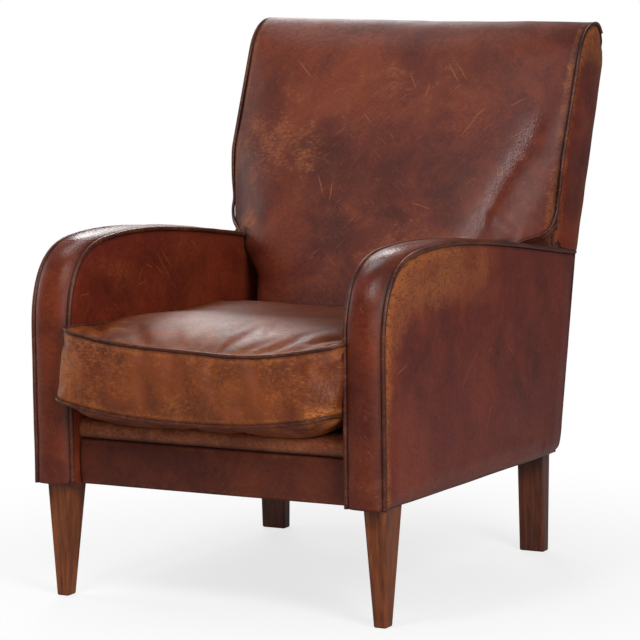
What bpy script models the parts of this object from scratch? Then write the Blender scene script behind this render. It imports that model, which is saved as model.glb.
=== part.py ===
"""Worn leather club chair: a beech frame with springs and webbing, foam padding,
leather covers with piped seams, a loose seat cushion and four wooden legs.

Metres, +Z up, front towards -Y. Inside the functions y is measured back from the arms' front plane;
the empty chair_origin then puts the middle of the whole depth over the world origin.
"""
import math

import bmesh
import bpy

# Whole body
CHAIR_WIDTH = 0.665
ARM_WIDTH = 0.073
UNDERSIDE_FRONT_Z = 0.200
UNDERSIDE_REAR_Z = 0.189
BODY_DEPTH = 0.678
ARM_FRONT_TOP_Z = 0.455
ARM_SHOULDER_Y = 0.135
ARM_SHOULDER_Z = 0.608
ARM_REAR_Y = 0.752
ARM_REAR_Z = 0.541
ARM_CROWN = 0.004
BACK_TOP_REAR_Y = 0.881
BACK_TOP_REAR_Z = 0.904
BACK_ROLL_RISE = 0.037
BACK_SIDE_OVERHANG = 0.0025
REAR_BOW = 0.070

# Back face: its side line, and the line down its middle
BACK_SIDE_Y = 0.655
BACK_SIDE_ARM_Y = 0.672
BACK_SIDE_MIDDLE_Y = 0.695
BACK_SIDE_MIDDLE_Z = 0.710
BACK_SIDE_TOP_Y = 0.767
BACK_SIDE_TOP_DROP = 0.016
BACK_FACE_LOW_Y = 0.510
BACK_FACE_LOW_Z = 0.450
BACK_FACE_TOP_Y = 0.742
EAR_DROP = 0.026
BACK_EAR_BLEND = 0.030
BACK_FULLNESS = 5

# Seat
DECK_TOP_Z = 0.312
RAIL_TOP_Z = 0.262
RAIL_COVER_Y = 0.025
LIP_SEAM_Z = 0.278
LIP_REAR_Y = 0.060
CUSHION_OVERHANG = 0.043
CUSHION_REAR_Y = 0.505
CUSHION_TOP_SEAM_Z = 0.450
CUSHION_BOTTOM_SEAM_Z = 0.334
CUSHION_TOP_CROWN = 0.024
CUSHION_CORNER_LIFT = 0.016
CUSHION_CORNER_RADIUS = 0.030
CUSHION_SIDE_CLEARANCE = 0.0045

# Frame timber, legs, springs and straps
FRAME_THICKNESS = 0.028
FRAME_SETBACK = 0.0225
POST_DEPTH = 0.045
FRONT_POST_DEPTH = 0.055
POST_HEAD_DROP = 0.015
ARM_RAIL_HEIGHT = 0.045
POST_TOP_DROP = 0.036
ROLL_SEAT = 0.030
POST_COVER_GAP = 0.003
TOP_RAIL_HEIGHT = 0.060
TOP_RAIL_THICKNESS = 0.030
LOWER_RAIL_Z = 0.350
LOWER_RAIL_HEIGHT = 0.050
CORNER_BLOCK_LEG = 0.055
CORNER_BLOCK_HEIGHT = 0.045
FRONT_LEG_TOP = (0.040, 0.064)
FRONT_LEG_FOOT = (0.023, 0.025)
FRONT_LEG_INSET = 0.0305
FRONT_LEG_SETBACK = 0.050
FRONT_FOOT_INSET = 0.0285
FRONT_FOOT_SETBACK = 0.0425
REAR_LEG_TOP = (0.050, 0.034)
REAR_LEG_FOOT = (0.048, 0.022)
REAR_LEG_INSET = 0.0675
REAR_LEG_BEHIND = 0.036
FOOT_ROUNDING = 0.003
SPRING_COUNT = 4
SPRING_PITCH = 0.115
SPRING_SWING = 0.022
SPRING_WAVES = 8
SPRING_RADIUS = 0.0018
SPRING_END_GAP = 0.008
STRAP_COUNT = 3
STRAP_WIDTH = 0.050
STRAP_PITCH = 0.120
STRAP_LOW_Z = 0.500
STRAP_THICKNESS = 0.0015
CLOTH_THICKNESS = 0.001
DUST_CLOTH_INSET = 0.022
DUST_CLOTH_END_GAP = 0.003

# Upholstery
LEATHER = 0.002
ARM_PAD = 0.016
PIPING_RADIUS = 0.0035
PIPING_INSET = 0.0015
FIT = 0.0003
SOFT_FIT = 0.0005

# Sizes that follow from the ones above
OUTER_FACE = CHAIR_WIDTH / 2
INNER_FACE = OUTER_FACE - ARM_WIDTH
FRAME_OUTER = OUTER_FACE - FRAME_SETBACK
FRAME_INNER = FRAME_OUTER - FRAME_THICKNESS
BACK_HALF = OUTER_FACE + BACK_SIDE_OVERHANG
BACK_TOP_Z = BACK_TOP_REAR_Z + BACK_ROLL_RISE
BACK_SIDE_TOP_Z = BACK_TOP_REAR_Z - BACK_SIDE_TOP_DROP
POST_TOP_Z = BACK_TOP_REAR_Z - POST_TOP_DROP
SEAM_INSET = PIPING_INSET + PIPING_RADIUS + FIT
PIPING_PROUD = PIPING_RADIUS - PIPING_INSET
PIPING_END_Y = BACK_SIDE_Y - ARM_WIDTH
COVER_DEPTH = LEATHER + SOFT_FIT
PAD_DEPTH = COVER_DEPTH + ARM_PAD
FRAME_DEPTH = PAD_DEPTH + SOFT_FIT
WOOD_LIFT = CLOTH_THICKNESS + FIT
SEAT_HALF = INNER_FACE - SOFT_FIT
BACK_COVER_HALF = BACK_HALF - SEAM_INSET
EAR_Z = ARM_SHOULDER_Z - EAR_DROP
BACK_FOOT_Z = DECK_TOP_Z + SOFT_FIT
EAR_BLEND_Z = BACK_FACE_LOW_Z + BACK_EAR_BLEND
REAR_LEG_CENTRE = (OUTER_FACE - REAR_LEG_INSET, BODY_DEPTH + REAR_LEG_BEHIND)
FRONT_LEG_CENTRE = (OUTER_FACE - FRONT_LEG_INSET, FRONT_LEG_SETBACK)
FRONT_FOOT_CENTRE = (OUTER_FACE - FRONT_FOOT_INSET, FRONT_FOOT_SETBACK)
ORIGIN_Y = (BACK_TOP_REAR_Y - CUSHION_OVERHANG) / 2

BLOCK_SEGMENTS = 12
ARM_STEPS = 9
TOP_STEPS = 6
ROLL_STEPS = 6


def bezier(start, start_handle, end_handle, end, steps):
    """Points along one cubic curve, both ends included."""
    points = []
    for step in range(steps + 1):
        t = step / steps
        weights = ((1 - t) ** 3, 3 * t * (1 - t) ** 2, 3 * t * t * (1 - t), t ** 3)
        corners = (start, start_handle, end_handle, end)
        points.append(tuple(sum(w * c[axis] for w, c in zip(weights, corners)) for axis in (0, 1)))
    return points


def lerp(a, b, t):
    return a + (b - a) * t


def smooth(t):
    t = min(max(t, 0.0), 1.0)
    return t * t * (3 - 2 * t)


def offset(points, depth):
    """The open line of (y, z) points moved to its right-hand side, which is the inside of the chair."""
    moved = []
    for index, (y, z) in enumerate(points):
        before = points[max(index - 1, 0)]
        after = points[min(index + 1, len(points) - 1)]
        along = (after[0] - before[0], after[1] - before[1])
        length = math.hypot(*along)
        moved.append((y + depth * along[1] / length, z - depth * along[0] / length))
    return moved


def underside(y):
    return lerp(UNDERSIDE_FRONT_Z, UNDERSIDE_REAR_Z, y / BODY_DEPTH)


def rear_edge(z):
    """y of the chair's rear corner line at height z."""
    if z < ARM_REAR_Z:
        share = (z - UNDERSIDE_REAR_Z) / (ARM_REAR_Z - UNDERSIDE_REAR_Z)
        return lerp(BODY_DEPTH, ARM_REAR_Y, share)
    share = (z - ARM_REAR_Z) / (BACK_TOP_REAR_Z - ARM_REAR_Z)
    return lerp(ARM_REAR_Y, BACK_TOP_REAR_Y, share)


def rear_face(x, z):
    """y of the outside back, which bows out between its corner lines, most at the bottom."""
    bow = REAR_BOW * (BACK_TOP_REAR_Z - z) / (BACK_TOP_REAR_Z - UNDERSIDE_REAR_Z)
    return rear_edge(z) + bow * (1 - (abs(x) / OUTER_FACE) ** 10)


def arm_profile():
    """The arm's outline from the bottom of its front, over the top, to its rear end."""
    rise = (ARM_SHOULDER_Z - ARM_FRONT_TOP_Z) * 0.56
    front = bezier((0.0, ARM_FRONT_TOP_Z), (0.0, ARM_FRONT_TOP_Z + rise),
                   (ARM_SHOULDER_Y * 0.22, ARM_SHOULDER_Z - 0.004), (ARM_SHOULDER_Y, ARM_SHOULDER_Z), ARM_STEPS)
    run = ARM_REAR_Y - ARM_SHOULDER_Y
    top = bezier((ARM_SHOULDER_Y, ARM_SHOULDER_Z), (ARM_SHOULDER_Y + run * 0.27, ARM_SHOULDER_Z + 0.014),
                 (ARM_SHOULDER_Y + run * 0.67, lerp(ARM_REAR_Z, ARM_SHOULDER_Z, 0.45)),
                 (ARM_REAR_Y, ARM_REAR_Z), TOP_STEPS)
    return [(0.0, underside(0.0)), (0.0, lerp(underside(0.0), ARM_FRONT_TOP_Z, 0.5))] + front + top[1:]


def arm_top(y):
    """Height of the arm's top line at y."""
    points = [point for point in arm_profile() if point[1] > ARM_FRONT_TOP_Z]
    for (y0, z0), (y1, z1) in zip(points, points[1:]):
        if y0 <= y <= y1:
            return lerp(z0, z1, (y - y0) / (y1 - y0))
    return points[-1][1]


def arm_outline(depth, rear_gap, lift):
    """Closed side outline of the arm, depth inside its front and top, rear_gap inside its rear edge."""
    points = offset(arm_profile(), depth)
    points[0] = (depth, underside(depth) + lift)
    rear_z = points[-1][1]
    points[-1] = (rear_edge(rear_z) - rear_gap, rear_z)
    bottom = underside(BODY_DEPTH) + lift
    points.append((rear_edge(bottom) - rear_gap, bottom))
    return points


def inner_outline(depth, gap):
    """Closed outline of the arm's inner side, stepped around the front rail and stopped at the back post."""
    points = offset(arm_profile(), depth)
    points[0] = (depth, underside(depth) + WOOD_LIFT)
    rear_z = points[-1][1]
    stop = post_front(rear_z) - STRAP_THICKNESS - gap
    points = [point for point in points if point[0] < stop - 0.01]
    points.append((stop, lerp(points[-1][1], rear_z, 0.8)))
    points.append((post_front(RAIL_TOP_Z) - STRAP_THICKNESS - gap, RAIL_TOP_Z + gap))
    points.append((RAIL_COVER_Y - gap, RAIL_TOP_Z + gap))
    points.append((RAIL_COVER_Y - gap, underside(RAIL_COVER_Y) + WOOD_LIFT))
    return points


def post_rear(z):
    return rear_face(FRAME_INNER, z) - COVER_DEPTH - POST_COVER_GAP


def post_front(z):
    return post_rear(z) - POST_DEPTH


def back_profile():
    """Side line of the back's front face and rolled top, as rows of (y, z, pillow depth)."""
    middle_slope = (BACK_FACE_TOP_Y - BACK_FACE_LOW_Y) / (BACK_SIDE_TOP_Z - BACK_FACE_LOW_Z)

    def middle_y(z):
        return BACK_FACE_LOW_Y + middle_slope * max(z - BACK_FACE_LOW_Z, 0.0)

    line = [(BACK_SIDE_Y, z) for z in (BACK_FOOT_Z, lerp(BACK_FOOT_Z, BACK_FACE_LOW_Z, 0.5))]
    line += [(BACK_SIDE_Y, lerp(BACK_FACE_LOW_Z, EAR_Z, share)) for share in (0.0, 0.38, 0.68)]
    line += bezier((BACK_SIDE_ARM_Y, EAR_Z), (BACK_SIDE_ARM_Y + 0.004, EAR_Z + 0.05),
                   (BACK_SIDE_MIDDLE_Y - 0.008, BACK_SIDE_MIDDLE_Z - 0.05),
                   (BACK_SIDE_MIDDLE_Y, BACK_SIDE_MIDDLE_Z), 3)
    line += [(lerp(BACK_SIDE_MIDDLE_Y, BACK_SIDE_TOP_Y, t), lerp(BACK_SIDE_MIDDLE_Z, BACK_SIDE_TOP_Z, t))
             for t in (0.33, 0.67, 1.0)]
    rows = [(y, z, y - middle_y(z)) for y, z in line]
    roll = bezier((BACK_SIDE_TOP_Y, BACK_SIDE_TOP_Z), (BACK_SIDE_TOP_Y + 0.026, BACK_TOP_Z + 0.014),
                  (BACK_TOP_REAR_Y - 0.004, BACK_TOP_Z + 0.020), (BACK_TOP_REAR_Y, BACK_TOP_REAR_Z), ROLL_STEPS)
    top_depth = rows[-1][2]
    rows += [(y, z, top_depth * (1 - step / ROLL_STEPS) ** 2) for step, (y, z) in enumerate(roll)][1:]
    return rows


def back_columns():
    inner = [SEAT_HALF * share for share in (0.0, 0.22, 0.44, 0.64, 0.80, 0.92, 1.0)]
    ear = [lerp(SEAT_HALF, BACK_COVER_HALF, share) for share in (0.4, 0.75, 1.0)]
    positive = inner + ear
    return [-x for x in reversed(positive[1:])] + positive


def back_face_point(x, row):
    """Point of the back's front face: a pillow that is full in the middle and falls back to its sides."""
    y, z, depth = row
    widening = smooth((z - EAR_BLEND_Z) / (EAR_Z - EAR_BLEND_Z))
    half = lerp(SEAT_HALF, BACK_COVER_HALF, widening)
    fullness = 1 - min(abs(x) / half, 1.0) ** BACK_FULLNESS
    return (x, y - depth * fullness, z)


def rounded(x, y, half_x, half_y, radius):
    """A point on the rectangle's edge moved in to the same rectangle with round corners."""
    core_x = min(max(x, radius - half_x), half_x - radius)
    core_y = min(max(y, radius - half_y), half_y - radius)
    away_x = x - core_x
    away_y = y - core_y
    length = math.hypot(away_x, away_y)
    return (core_x + radius * away_x / length, core_y + radius * away_y / length)


def cushion_plan(u, v, inset):
    """Plan position of a point of the cushion, whose u and v run from -1 to 1 across and back."""
    half_x = INNER_FACE - CUSHION_SIDE_CLEARANCE - inset
    front = PIPING_RADIUS - PIPING_INSET - CUSHION_OVERHANG + inset
    rear = CUSHION_REAR_Y - inset
    half_y = (rear - front) / 2
    level = max(abs(u), abs(v))
    if level == 0:
        return (0.0, (front + rear) / 2)
    x, y = rounded(u / level * half_x, v / level * half_y, half_x, half_y, CUSHION_CORNER_RADIUS - inset)
    return (x * level, y * level + (front + rear) / 2)


def top_seam_z(u):
    return CUSHION_TOP_SEAM_Z + CUSHION_CORNER_LIFT * u * u


def bottom_seam_z(u):
    return CUSHION_BOTTOM_SEAM_Z + CUSHION_CORNER_LIFT * u * u


def pillow(u, v):
    return (1 - abs(u) ** 2.6) * (1 - abs(v) ** 2.6)


for leftover in list(bpy.data.objects):
    bpy.data.objects.remove(leftover, do_unlink=True)

parts = bpy.data.collections.new("club_chair")
bpy.context.scene.collection.children.link(parts)
cutters = bpy.data.collections.new("cutters")
bpy.context.scene.collection.children.link(cutters)
origin = bpy.data.objects.new("chair_origin", None)
origin.location = (0.0, -ORIGIN_Y, 0.0)
parts.objects.link(origin)


def material(name, colour, roughness, metallic=0.0):
    made = bpy.data.materials.new(name)
    made.use_nodes = True
    shader = made.node_tree.nodes["Principled BSDF"]
    shader.inputs["Base Color"].default_value = (*colour, 1.0)
    shader.inputs["Roughness"].default_value = roughness
    shader.inputs["Metallic"].default_value = metallic
    return made


BACK_LEATHER = material("back_leather", (0.13, 0.032, 0.018), 0.42)
ARM_LEATHER = material("arm_leather", (0.16, 0.036, 0.020), 0.40)
SEAT_LEATHER = material("seat_leather", (0.22, 0.070, 0.026), 0.48)
PIPING_LEATHER = material("piping_leather", (0.06, 0.016, 0.012), 0.45)
LEG_WOOD = material("stained_beech", (0.16, 0.055, 0.022), 0.45)
FRAME_WOOD = material("raw_beech", (0.55, 0.38, 0.22), 0.7)
FOAM = material("foam", (0.75, 0.66, 0.42), 0.95)
SPRING_STEEL = material("spring_steel", (0.30, 0.30, 0.31), 0.4, 1.0)
JUTE = material("jute", (0.42, 0.30, 0.17), 0.95)
BLACK_CLOTH = material("black_cloth", (0.015, 0.015, 0.016), 0.95)


def add_object(name, data, finish, collection=parts):
    made = bpy.data.objects.new(name, data)
    collection.objects.link(made)
    made.parent = origin
    if finish is not None:
        data.materials.append(finish)
    return made


def board(name, outline, thickness, centre_x, finish):
    """A flat piece cut to a closed (y, z) outline, standing in the plane x = centre_x."""
    data = bpy.data.curves.new(name, "CURVE")
    data.dimensions = "2D"
    data.fill_mode = "BOTH"
    data.extrude = thickness / 2
    spline = data.splines.new("POLY")
    spline.points.add(len(outline) - 1)
    for point, (y, z) in zip(spline.points, outline):
        point.co = (y, z, 0.0, 1.0)
    spline.use_cyclic_u = True
    made = add_object(name, data, finish)
    made.location = (centre_x, 0.0, 0.0)
    made.rotation_euler = (math.pi / 2, 0.0, math.pi / 2)
    return made


def mesh_board(name, outline, low_x, high_x, finish, collection=parts):
    """A board turned into a mesh, so that it can be cut or joined."""
    curve = board(name + "_outline", outline, high_x - low_x, (low_x + high_x) / 2, None)
    bpy.context.view_layer.update()
    evaluated = curve.evaluated_get(bpy.context.evaluated_depsgraph_get())
    data = bpy.data.meshes.new_from_object(evaluated)
    data.name = name
    cage = bmesh.new()
    cage.from_mesh(data)
    bmesh.ops.remove_doubles(cage, verts=cage.verts, dist=0.00001)
    cage.to_mesh(data)
    cage.free()
    made = add_object(name, data, finish, collection)
    made.matrix_world = curve.matrix_world
    outline_data = curve.data
    bpy.data.objects.remove(curve)
    bpy.data.curves.remove(outline_data)
    return made


def box(name, low, high, finish):
    """A block between two corners."""
    cage = bmesh.new()
    bmesh.ops.create_cube(cage, size=1.0)
    for corner in cage.verts:
        for axis in range(3):
            corner.co[axis] = low[axis] if corner.co[axis] < 0 else high[axis]
    data = bpy.data.meshes.new(name)
    cage.to_mesh(data)
    cage.free()
    return add_object(name, data, finish)


def hide_cutter(cutter):
    cutter.hide_render = True
    cutter.display_type = "WIRE"


def boolean(target, other, operation):
    modifier = target.modifiers.new(operation.lower(), "BOOLEAN")
    modifier.operation = operation
    modifier.object = other
    hide_cutter(other)


def grid(columns, rows, place):
    """A sheet of quads whose point in column i and row j is place(i, j)."""
    cage = bmesh.new()
    bmesh.ops.create_grid(cage, x_segments=columns, y_segments=rows, size=1.0)
    column_layer = cage.verts.layers.int.new("column")
    row_layer = cage.verts.layers.int.new("row")
    for corner in cage.verts:
        column = round((corner.co.x + 1) / 2 * columns)
        row = round((corner.co.y + 1) / 2 * rows)
        corner[column_layer] = column
        corner[row_layer] = row
        corner.co = place(column, row)
    return cage


def finish_mesh(name, cage, finish, soft=True):
    data = bpy.data.meshes.new(name)
    cage.to_mesh(data)
    cage.free()
    made = add_object(name, data, finish)
    if soft:
        data.shade_smooth()
        data.set_sharp_from_angle(angle=math.radians(40))
    return made


def leather_sheet(name, cage, finish):
    """An open sheet given its leather's thickness on the inner side."""
    made = finish_mesh(name, cage, finish)
    skin = made.modifiers.new("leather", "SOLIDIFY")
    skin.thickness = LEATHER
    skin.offset = -1.0
    return made


def cord(name, points, radius, finish, closed=False):
    data = bpy.data.curves.new(name, "CURVE")
    data.dimensions = "3D"
    data.bevel_depth = radius
    data.bevel_resolution = 1
    data.use_fill_caps = True
    spline = data.splines.new("POLY")
    spline.points.add(len(points) - 1)
    for point, place in zip(spline.points, points):
        point.co = (*place, 1.0)
    spline.use_cyclic_u = closed
    return add_object(name, data, finish)


def make_arm(side, word):
    """One arm: two frame boards, the padding wrapped round them, three leather pieces and two pipings."""
    profile = arm_profile()
    centre = side * (FRAME_INNER + FRAME_OUTER) / 2

    # The front post stands on the leg; the curved arm rail runs from it to the back post.
    post_top = ARM_FRONT_TOP_Z - POST_HEAD_DROP
    post_rear_y = FRAME_DEPTH + FRONT_POST_DEPTH
    board("front_post_" + word,
          [(FRAME_DEPTH, underside(FRAME_DEPTH) + WOOD_LIFT), (FRAME_DEPTH, post_top),
           (post_rear_y, post_top), (post_rear_y, underside(post_rear_y) + WOOD_LIFT)],
          FRAME_THICKNESS, centre, FRAME_WOOD)
    upper = [point for point in offset(profile, FRAME_DEPTH) if point[1] > post_top + 0.005]
    rail_end = rear_edge(ARM_REAR_Z) - COVER_DEPTH - FIT
    upper = [point for point in upper if point[0] < rail_end]
    upper[-1] = (rail_end, upper[-1][1])
    lower = [(y, z - ARM_RAIL_HEIGHT) for y, z in upper if y > post_rear_y + 0.03]
    board("arm_rail_" + word,
          [(FRAME_DEPTH, post_top + FIT)] + upper + lower[::-1] + [(post_rear_y, post_top + FIT)],
          FRAME_THICKNESS, centre, FRAME_WOOD)
    rail_rear = rear_edge(UNDERSIDE_REAR_Z) - COVER_DEPTH - FIT
    rail_front = post_rear_y + FIT
    board("side_rail_" + word,
          [(rail_front, underside(rail_front) + WOOD_LIFT), (rail_front, RAIL_TOP_Z),
           (rail_rear, RAIL_TOP_Z), (rail_rear, underside(rail_rear) + WOOD_LIFT)],
          FRAME_THICKNESS, centre, FRAME_WOOD)

    # The padding: a full-width wrap over the front and top, two side slabs, and a slot for the frame.
    def padding_board(label, outline, low_x, high_x, collection):
        low, high = sorted((side * low_x, side * high_x))
        return mesh_board(label, outline, low, high, FOAM, collection)

    padding = padding_board("arm_padding_" + word, arm_outline(SEAM_INSET, COVER_DEPTH, WOOD_LIFT + FIT),
                            FRAME_INNER + 0.006, OUTER_FACE - COVER_DEPTH, parts)
    wrap = padding_board("arm_wrap_" + word, inner_outline(COVER_DEPTH, SOFT_FIT * 2),
                         INNER_FACE + SEAM_INSET, OUTER_FACE - SEAM_INSET, cutters)
    inner_slab = padding_board("arm_inner_slab_" + word, inner_outline(SEAM_INSET, SOFT_FIT * 2),
                               INNER_FACE + COVER_DEPTH, FRAME_INNER + 0.012, cutters)
    slot_outline = offset(profile, PAD_DEPTH)
    slot_outline[0] = (PAD_DEPTH, 0.1)
    slot_outline[-1] = (1.0, slot_outline[-1][1])
    slot_outline.append((1.0, 0.1))
    slot = padding_board("arm_slot_" + word, slot_outline, FRAME_INNER - FIT, FRAME_OUTER + FIT, cutters)
    post_room = padding_board("post_room_" + word,
                              [(post_front(z) - STRAP_THICKNESS - 2 * FIT, z)
                               for z in (0.1, LOWER_RAIL_Z, ARM_REAR_Z, POST_TOP_Z)] + [(1.0, POST_TOP_Z), (1.0, 0.1)],
                              0.1, FRAME_INNER + FIT, cutters)
    boolean(padding, wrap, "UNION")
    boolean(padding, inner_slab, "UNION")
    boolean(padding, slot, "DIFFERENCE")
    boolean(padding, post_room, "DIFFERENCE")

    # The covers
    low_x = INNER_FACE + SEAM_INSET
    high_x = OUTER_FACE - SEAM_INSET
    across = 4
    normals = [(after[0] - before[0], after[1] - before[1])
               for before, after in zip(offset(profile, 1.0), profile)]

    def band_point(column, row):
        share = column / across
        raised = ARM_CROWN * (1 - (2 * share - 1) ** 2)
        y, z = profile[row]
        y += raised * normals[row][0]
        z += raised * normals[row][1]
        return (side * lerp(low_x, high_x, share), y, z)

    band = grid(across, len(profile) - 1, band_point)
    if side < 0:
        bmesh.ops.reverse_faces(band, faces=band.faces)
    boolean(leather_sheet("arm_band_" + word, band, ARM_LEATHER), post_room, "DIFFERENCE")
    board("arm_outer_panel_" + word, arm_outline(SEAM_INSET, LEATHER + FIT, 0.0), LEATHER,
          side * (OUTER_FACE - LEATHER / 2), ARM_LEATHER)
    board("arm_inner_panel_" + word, inner_outline(SEAM_INSET, SOFT_FIT), LEATHER,
          side * (INNER_FACE + LEATHER / 2), ARM_LEATHER)
    for label, x in (("outer", OUTER_FACE - PIPING_INSET), ("inner", INNER_FACE + PIPING_INSET)):
        path = offset(profile, PIPING_INSET)
        if label == "inner":
            path = [point for point in path if point[0] < PIPING_END_Y]
        else:
            path[-1] = (path[-1][0] - LEATHER - PIPING_PROUD, path[-1][1])
        path[0] = (path[0][0], underside(0.0) + FIT)
        cord("arm_piping_" + label + "_" + word, [(side * x, y, z) for y, z in path],
             PIPING_RADIUS, PIPING_LEATHER)


def make_back():
    """The back's posts, rails and webbing, its pillow padding, and its leather covers with their pipings."""
    rows = back_profile()
    columns = back_columns()
    ear_row = next(index for index, row in enumerate(rows) if row[1] >= EAR_Z)

    for side, word in ((1, "left"), (-1, "right")):
        foot = underside(BODY_DEPTH) + WOOD_LIFT
        heights = (foot, LOWER_RAIL_Z, ARM_REAR_Z, POST_TOP_Z)
        outline = [(post_rear(z), z) for z in heights]
        outline += [(post_front(z), z) for z in reversed(heights)]
        board("back_post_" + word, outline, FRAME_THICKNESS, side * (FRAME_INNER - FIT - FRAME_THICKNESS / 2),
              FRAME_WOOD)

    inside = FRAME_INNER - 2 * FIT - FRAME_THICKNESS

    def cross_rail(name, low_z, high_z, front_gap, thickness):
        outline = [(post_front(low_z) + front_gap, low_z), (post_front(high_z) + front_gap, high_z),
                   (post_front(high_z) + front_gap + thickness, high_z),
                   (post_front(low_z) + front_gap + thickness, low_z)]
        board(name, outline, 2 * inside, 0.0, FRAME_WOOD)

    cross_rail("back_top_rail", POST_TOP_Z - TOP_RAIL_HEIGHT, POST_TOP_Z, 0.0, TOP_RAIL_THICKNESS)
    cross_rail("back_lower_rail", LOWER_RAIL_Z - LOWER_RAIL_HEIGHT / 2, LOWER_RAIL_Z + LOWER_RAIL_HEIGHT / 2,
               0.0, TOP_RAIL_THICKNESS)
    strap_half = FRAME_INNER - 2 * FIT
    for number in range(STRAP_COUNT):
        low = STRAP_LOW_Z + number * STRAP_PITCH - STRAP_WIDTH / 2
        high = low + STRAP_WIDTH
        outline = [(post_front(z) - FIT - depth, z)
                   for depth, z in ((0, low), (0, high), (STRAP_THICKNESS, high), (STRAP_THICKNESS, low))]
        board("back_webbing_%d" % (number + 1), outline, 2 * strap_half, 0.0, JUTE)

    def face_grid():
        sheet = grid(len(columns) - 1, len(rows) - 1,
                     lambda column, row: back_face_point(columns[column], rows[row]))
        below_ear = rows[ear_row][1] - 0.0001
        outside = [face for face in sheet.faces
                   if min(corner.co.z for corner in face.verts) < below_ear
                   and max(corner.co.y for corner in face.verts) < BACK_SIDE_TOP_Y
                   and abs(face.calc_center_median().x) > SEAT_HALF]
        bmesh.ops.delete(sheet, geom=outside, context="FACES")
        return sheet

    leather_sheet("back_front_cover", face_grid(), BACK_LEATHER)

    # The padding lies under the cover and reaches back to the posts and webbing.
    cage = face_grid()
    cage.normal_update()
    width = {}
    for corner in cage.verts:
        width[corner[cage.verts.layers.int["column"]]] = corner.co.x
    for corner in cage.verts:
        corner.co -= corner.normal * (COVER_DEPTH + SOFT_FIT)
    grown = bmesh.ops.extrude_face_region(cage, geom=cage.faces[:], use_keep_orig=True)
    column_layer = cage.verts.layers.int["column"]
    row_layer = cage.verts.layers.int["row"]
    shoulder = len(rows) - 1 - ROLL_STEPS
    squeeze = (POST_TOP_Z - ROLL_SEAT - BACK_FOOT_Z) / (BACK_SIDE_TOP_Z - BACK_FOOT_Z)
    for corner in grown["geom"]:
        if isinstance(corner, bmesh.types.BMVert):
            row = corner[row_layer]
            z = BACK_FOOT_Z + (rows[min(row, shoulder)][1] - BACK_FOOT_Z) * squeeze
            z += ROLL_SEAT * max(row - shoulder, 0) / ROLL_STEPS
            side_x = width[corner[column_layer]]
            limit = BACK_COVER_HALF - COVER_DEPTH if row >= ear_row else SEAT_HALF - SOFT_FIT
            corner.co = (max(-limit, min(limit, side_x)), post_front(z) - STRAP_THICKNESS - SOFT_FIT - FIT, z)
    bmesh.ops.recalc_face_normals(cage, faces=cage.faces)
    finish_mesh("back_padding", cage, FOAM)

    # The outside back closes the frame from behind.
    foot = underside(BODY_DEPTH)
    levels = [foot, lerp(foot, ARM_REAR_Z, 0.5), ARM_REAR_Z, lerp(ARM_REAR_Z, BACK_TOP_REAR_Z, 0.5),
              BACK_TOP_REAR_Z - LEATHER - FIT]
    half_spans = (0.0, 0.35, 0.62, 0.75, 0.84, 0.91, 0.96, 1.0)
    spans = tuple(-span for span in half_spans[:0:-1]) + half_spans

    def rear_point(column, row):
        x = -spans[column] * OUTER_FACE
        return (x, rear_face(x, levels[row]), levels[row])

    leather_sheet("back_rear_cover", grid(len(spans) - 1, len(levels) - 1, rear_point), BACK_LEATHER)

    # Side bands and pipings
    side_line = [(y, z) for y, z, depth in rows if z >= EAR_Z - 0.0001]
    band_front = offset(side_line, SEAM_INSET)
    rear_top = rear_edge(BACK_TOP_REAR_Z - SEAM_INSET) - LEATHER - FIT
    band_front = [point for point in band_front if point[0] < rear_top - 0.004]
    clearance = PIPING_RADIUS - PIPING_INSET + FIT
    sill = ARM_REAR_Z + clearance
    band_outline = band_front + [(rear_top, BACK_TOP_REAR_Z - SEAM_INSET),
                                 (rear_edge(sill) - LEATHER - FIT, sill)]
    arm_line = [(y, z + clearance) for y, z in arm_profile() if band_front[0][0] < y < rear_edge(sill) - 0.02]
    band_outline += arm_line[::-1] + [(band_front[0][0], arm_top(band_front[0][0]) + clearance)]
    piping_line = offset(side_line, PIPING_INSET)
    piping_line = [point for point in piping_line if point[0] < BACK_TOP_REAR_Y - PIPING_PROUD]
    piping_line.insert(0, (piping_line[0][0], arm_top(piping_line[0][0]) + clearance))
    for side, word in ((1, "left"), (-1, "right")):
        board("back_side_band_" + word, band_outline, LEATHER, side * (BACK_HALF - LEATHER / 2), BACK_LEATHER)
        cord("back_piping_" + word, [(side * (BACK_HALF - PIPING_INSET), y, z) for y, z in piping_line],
             PIPING_RADIUS, PIPING_LEATHER)


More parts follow.
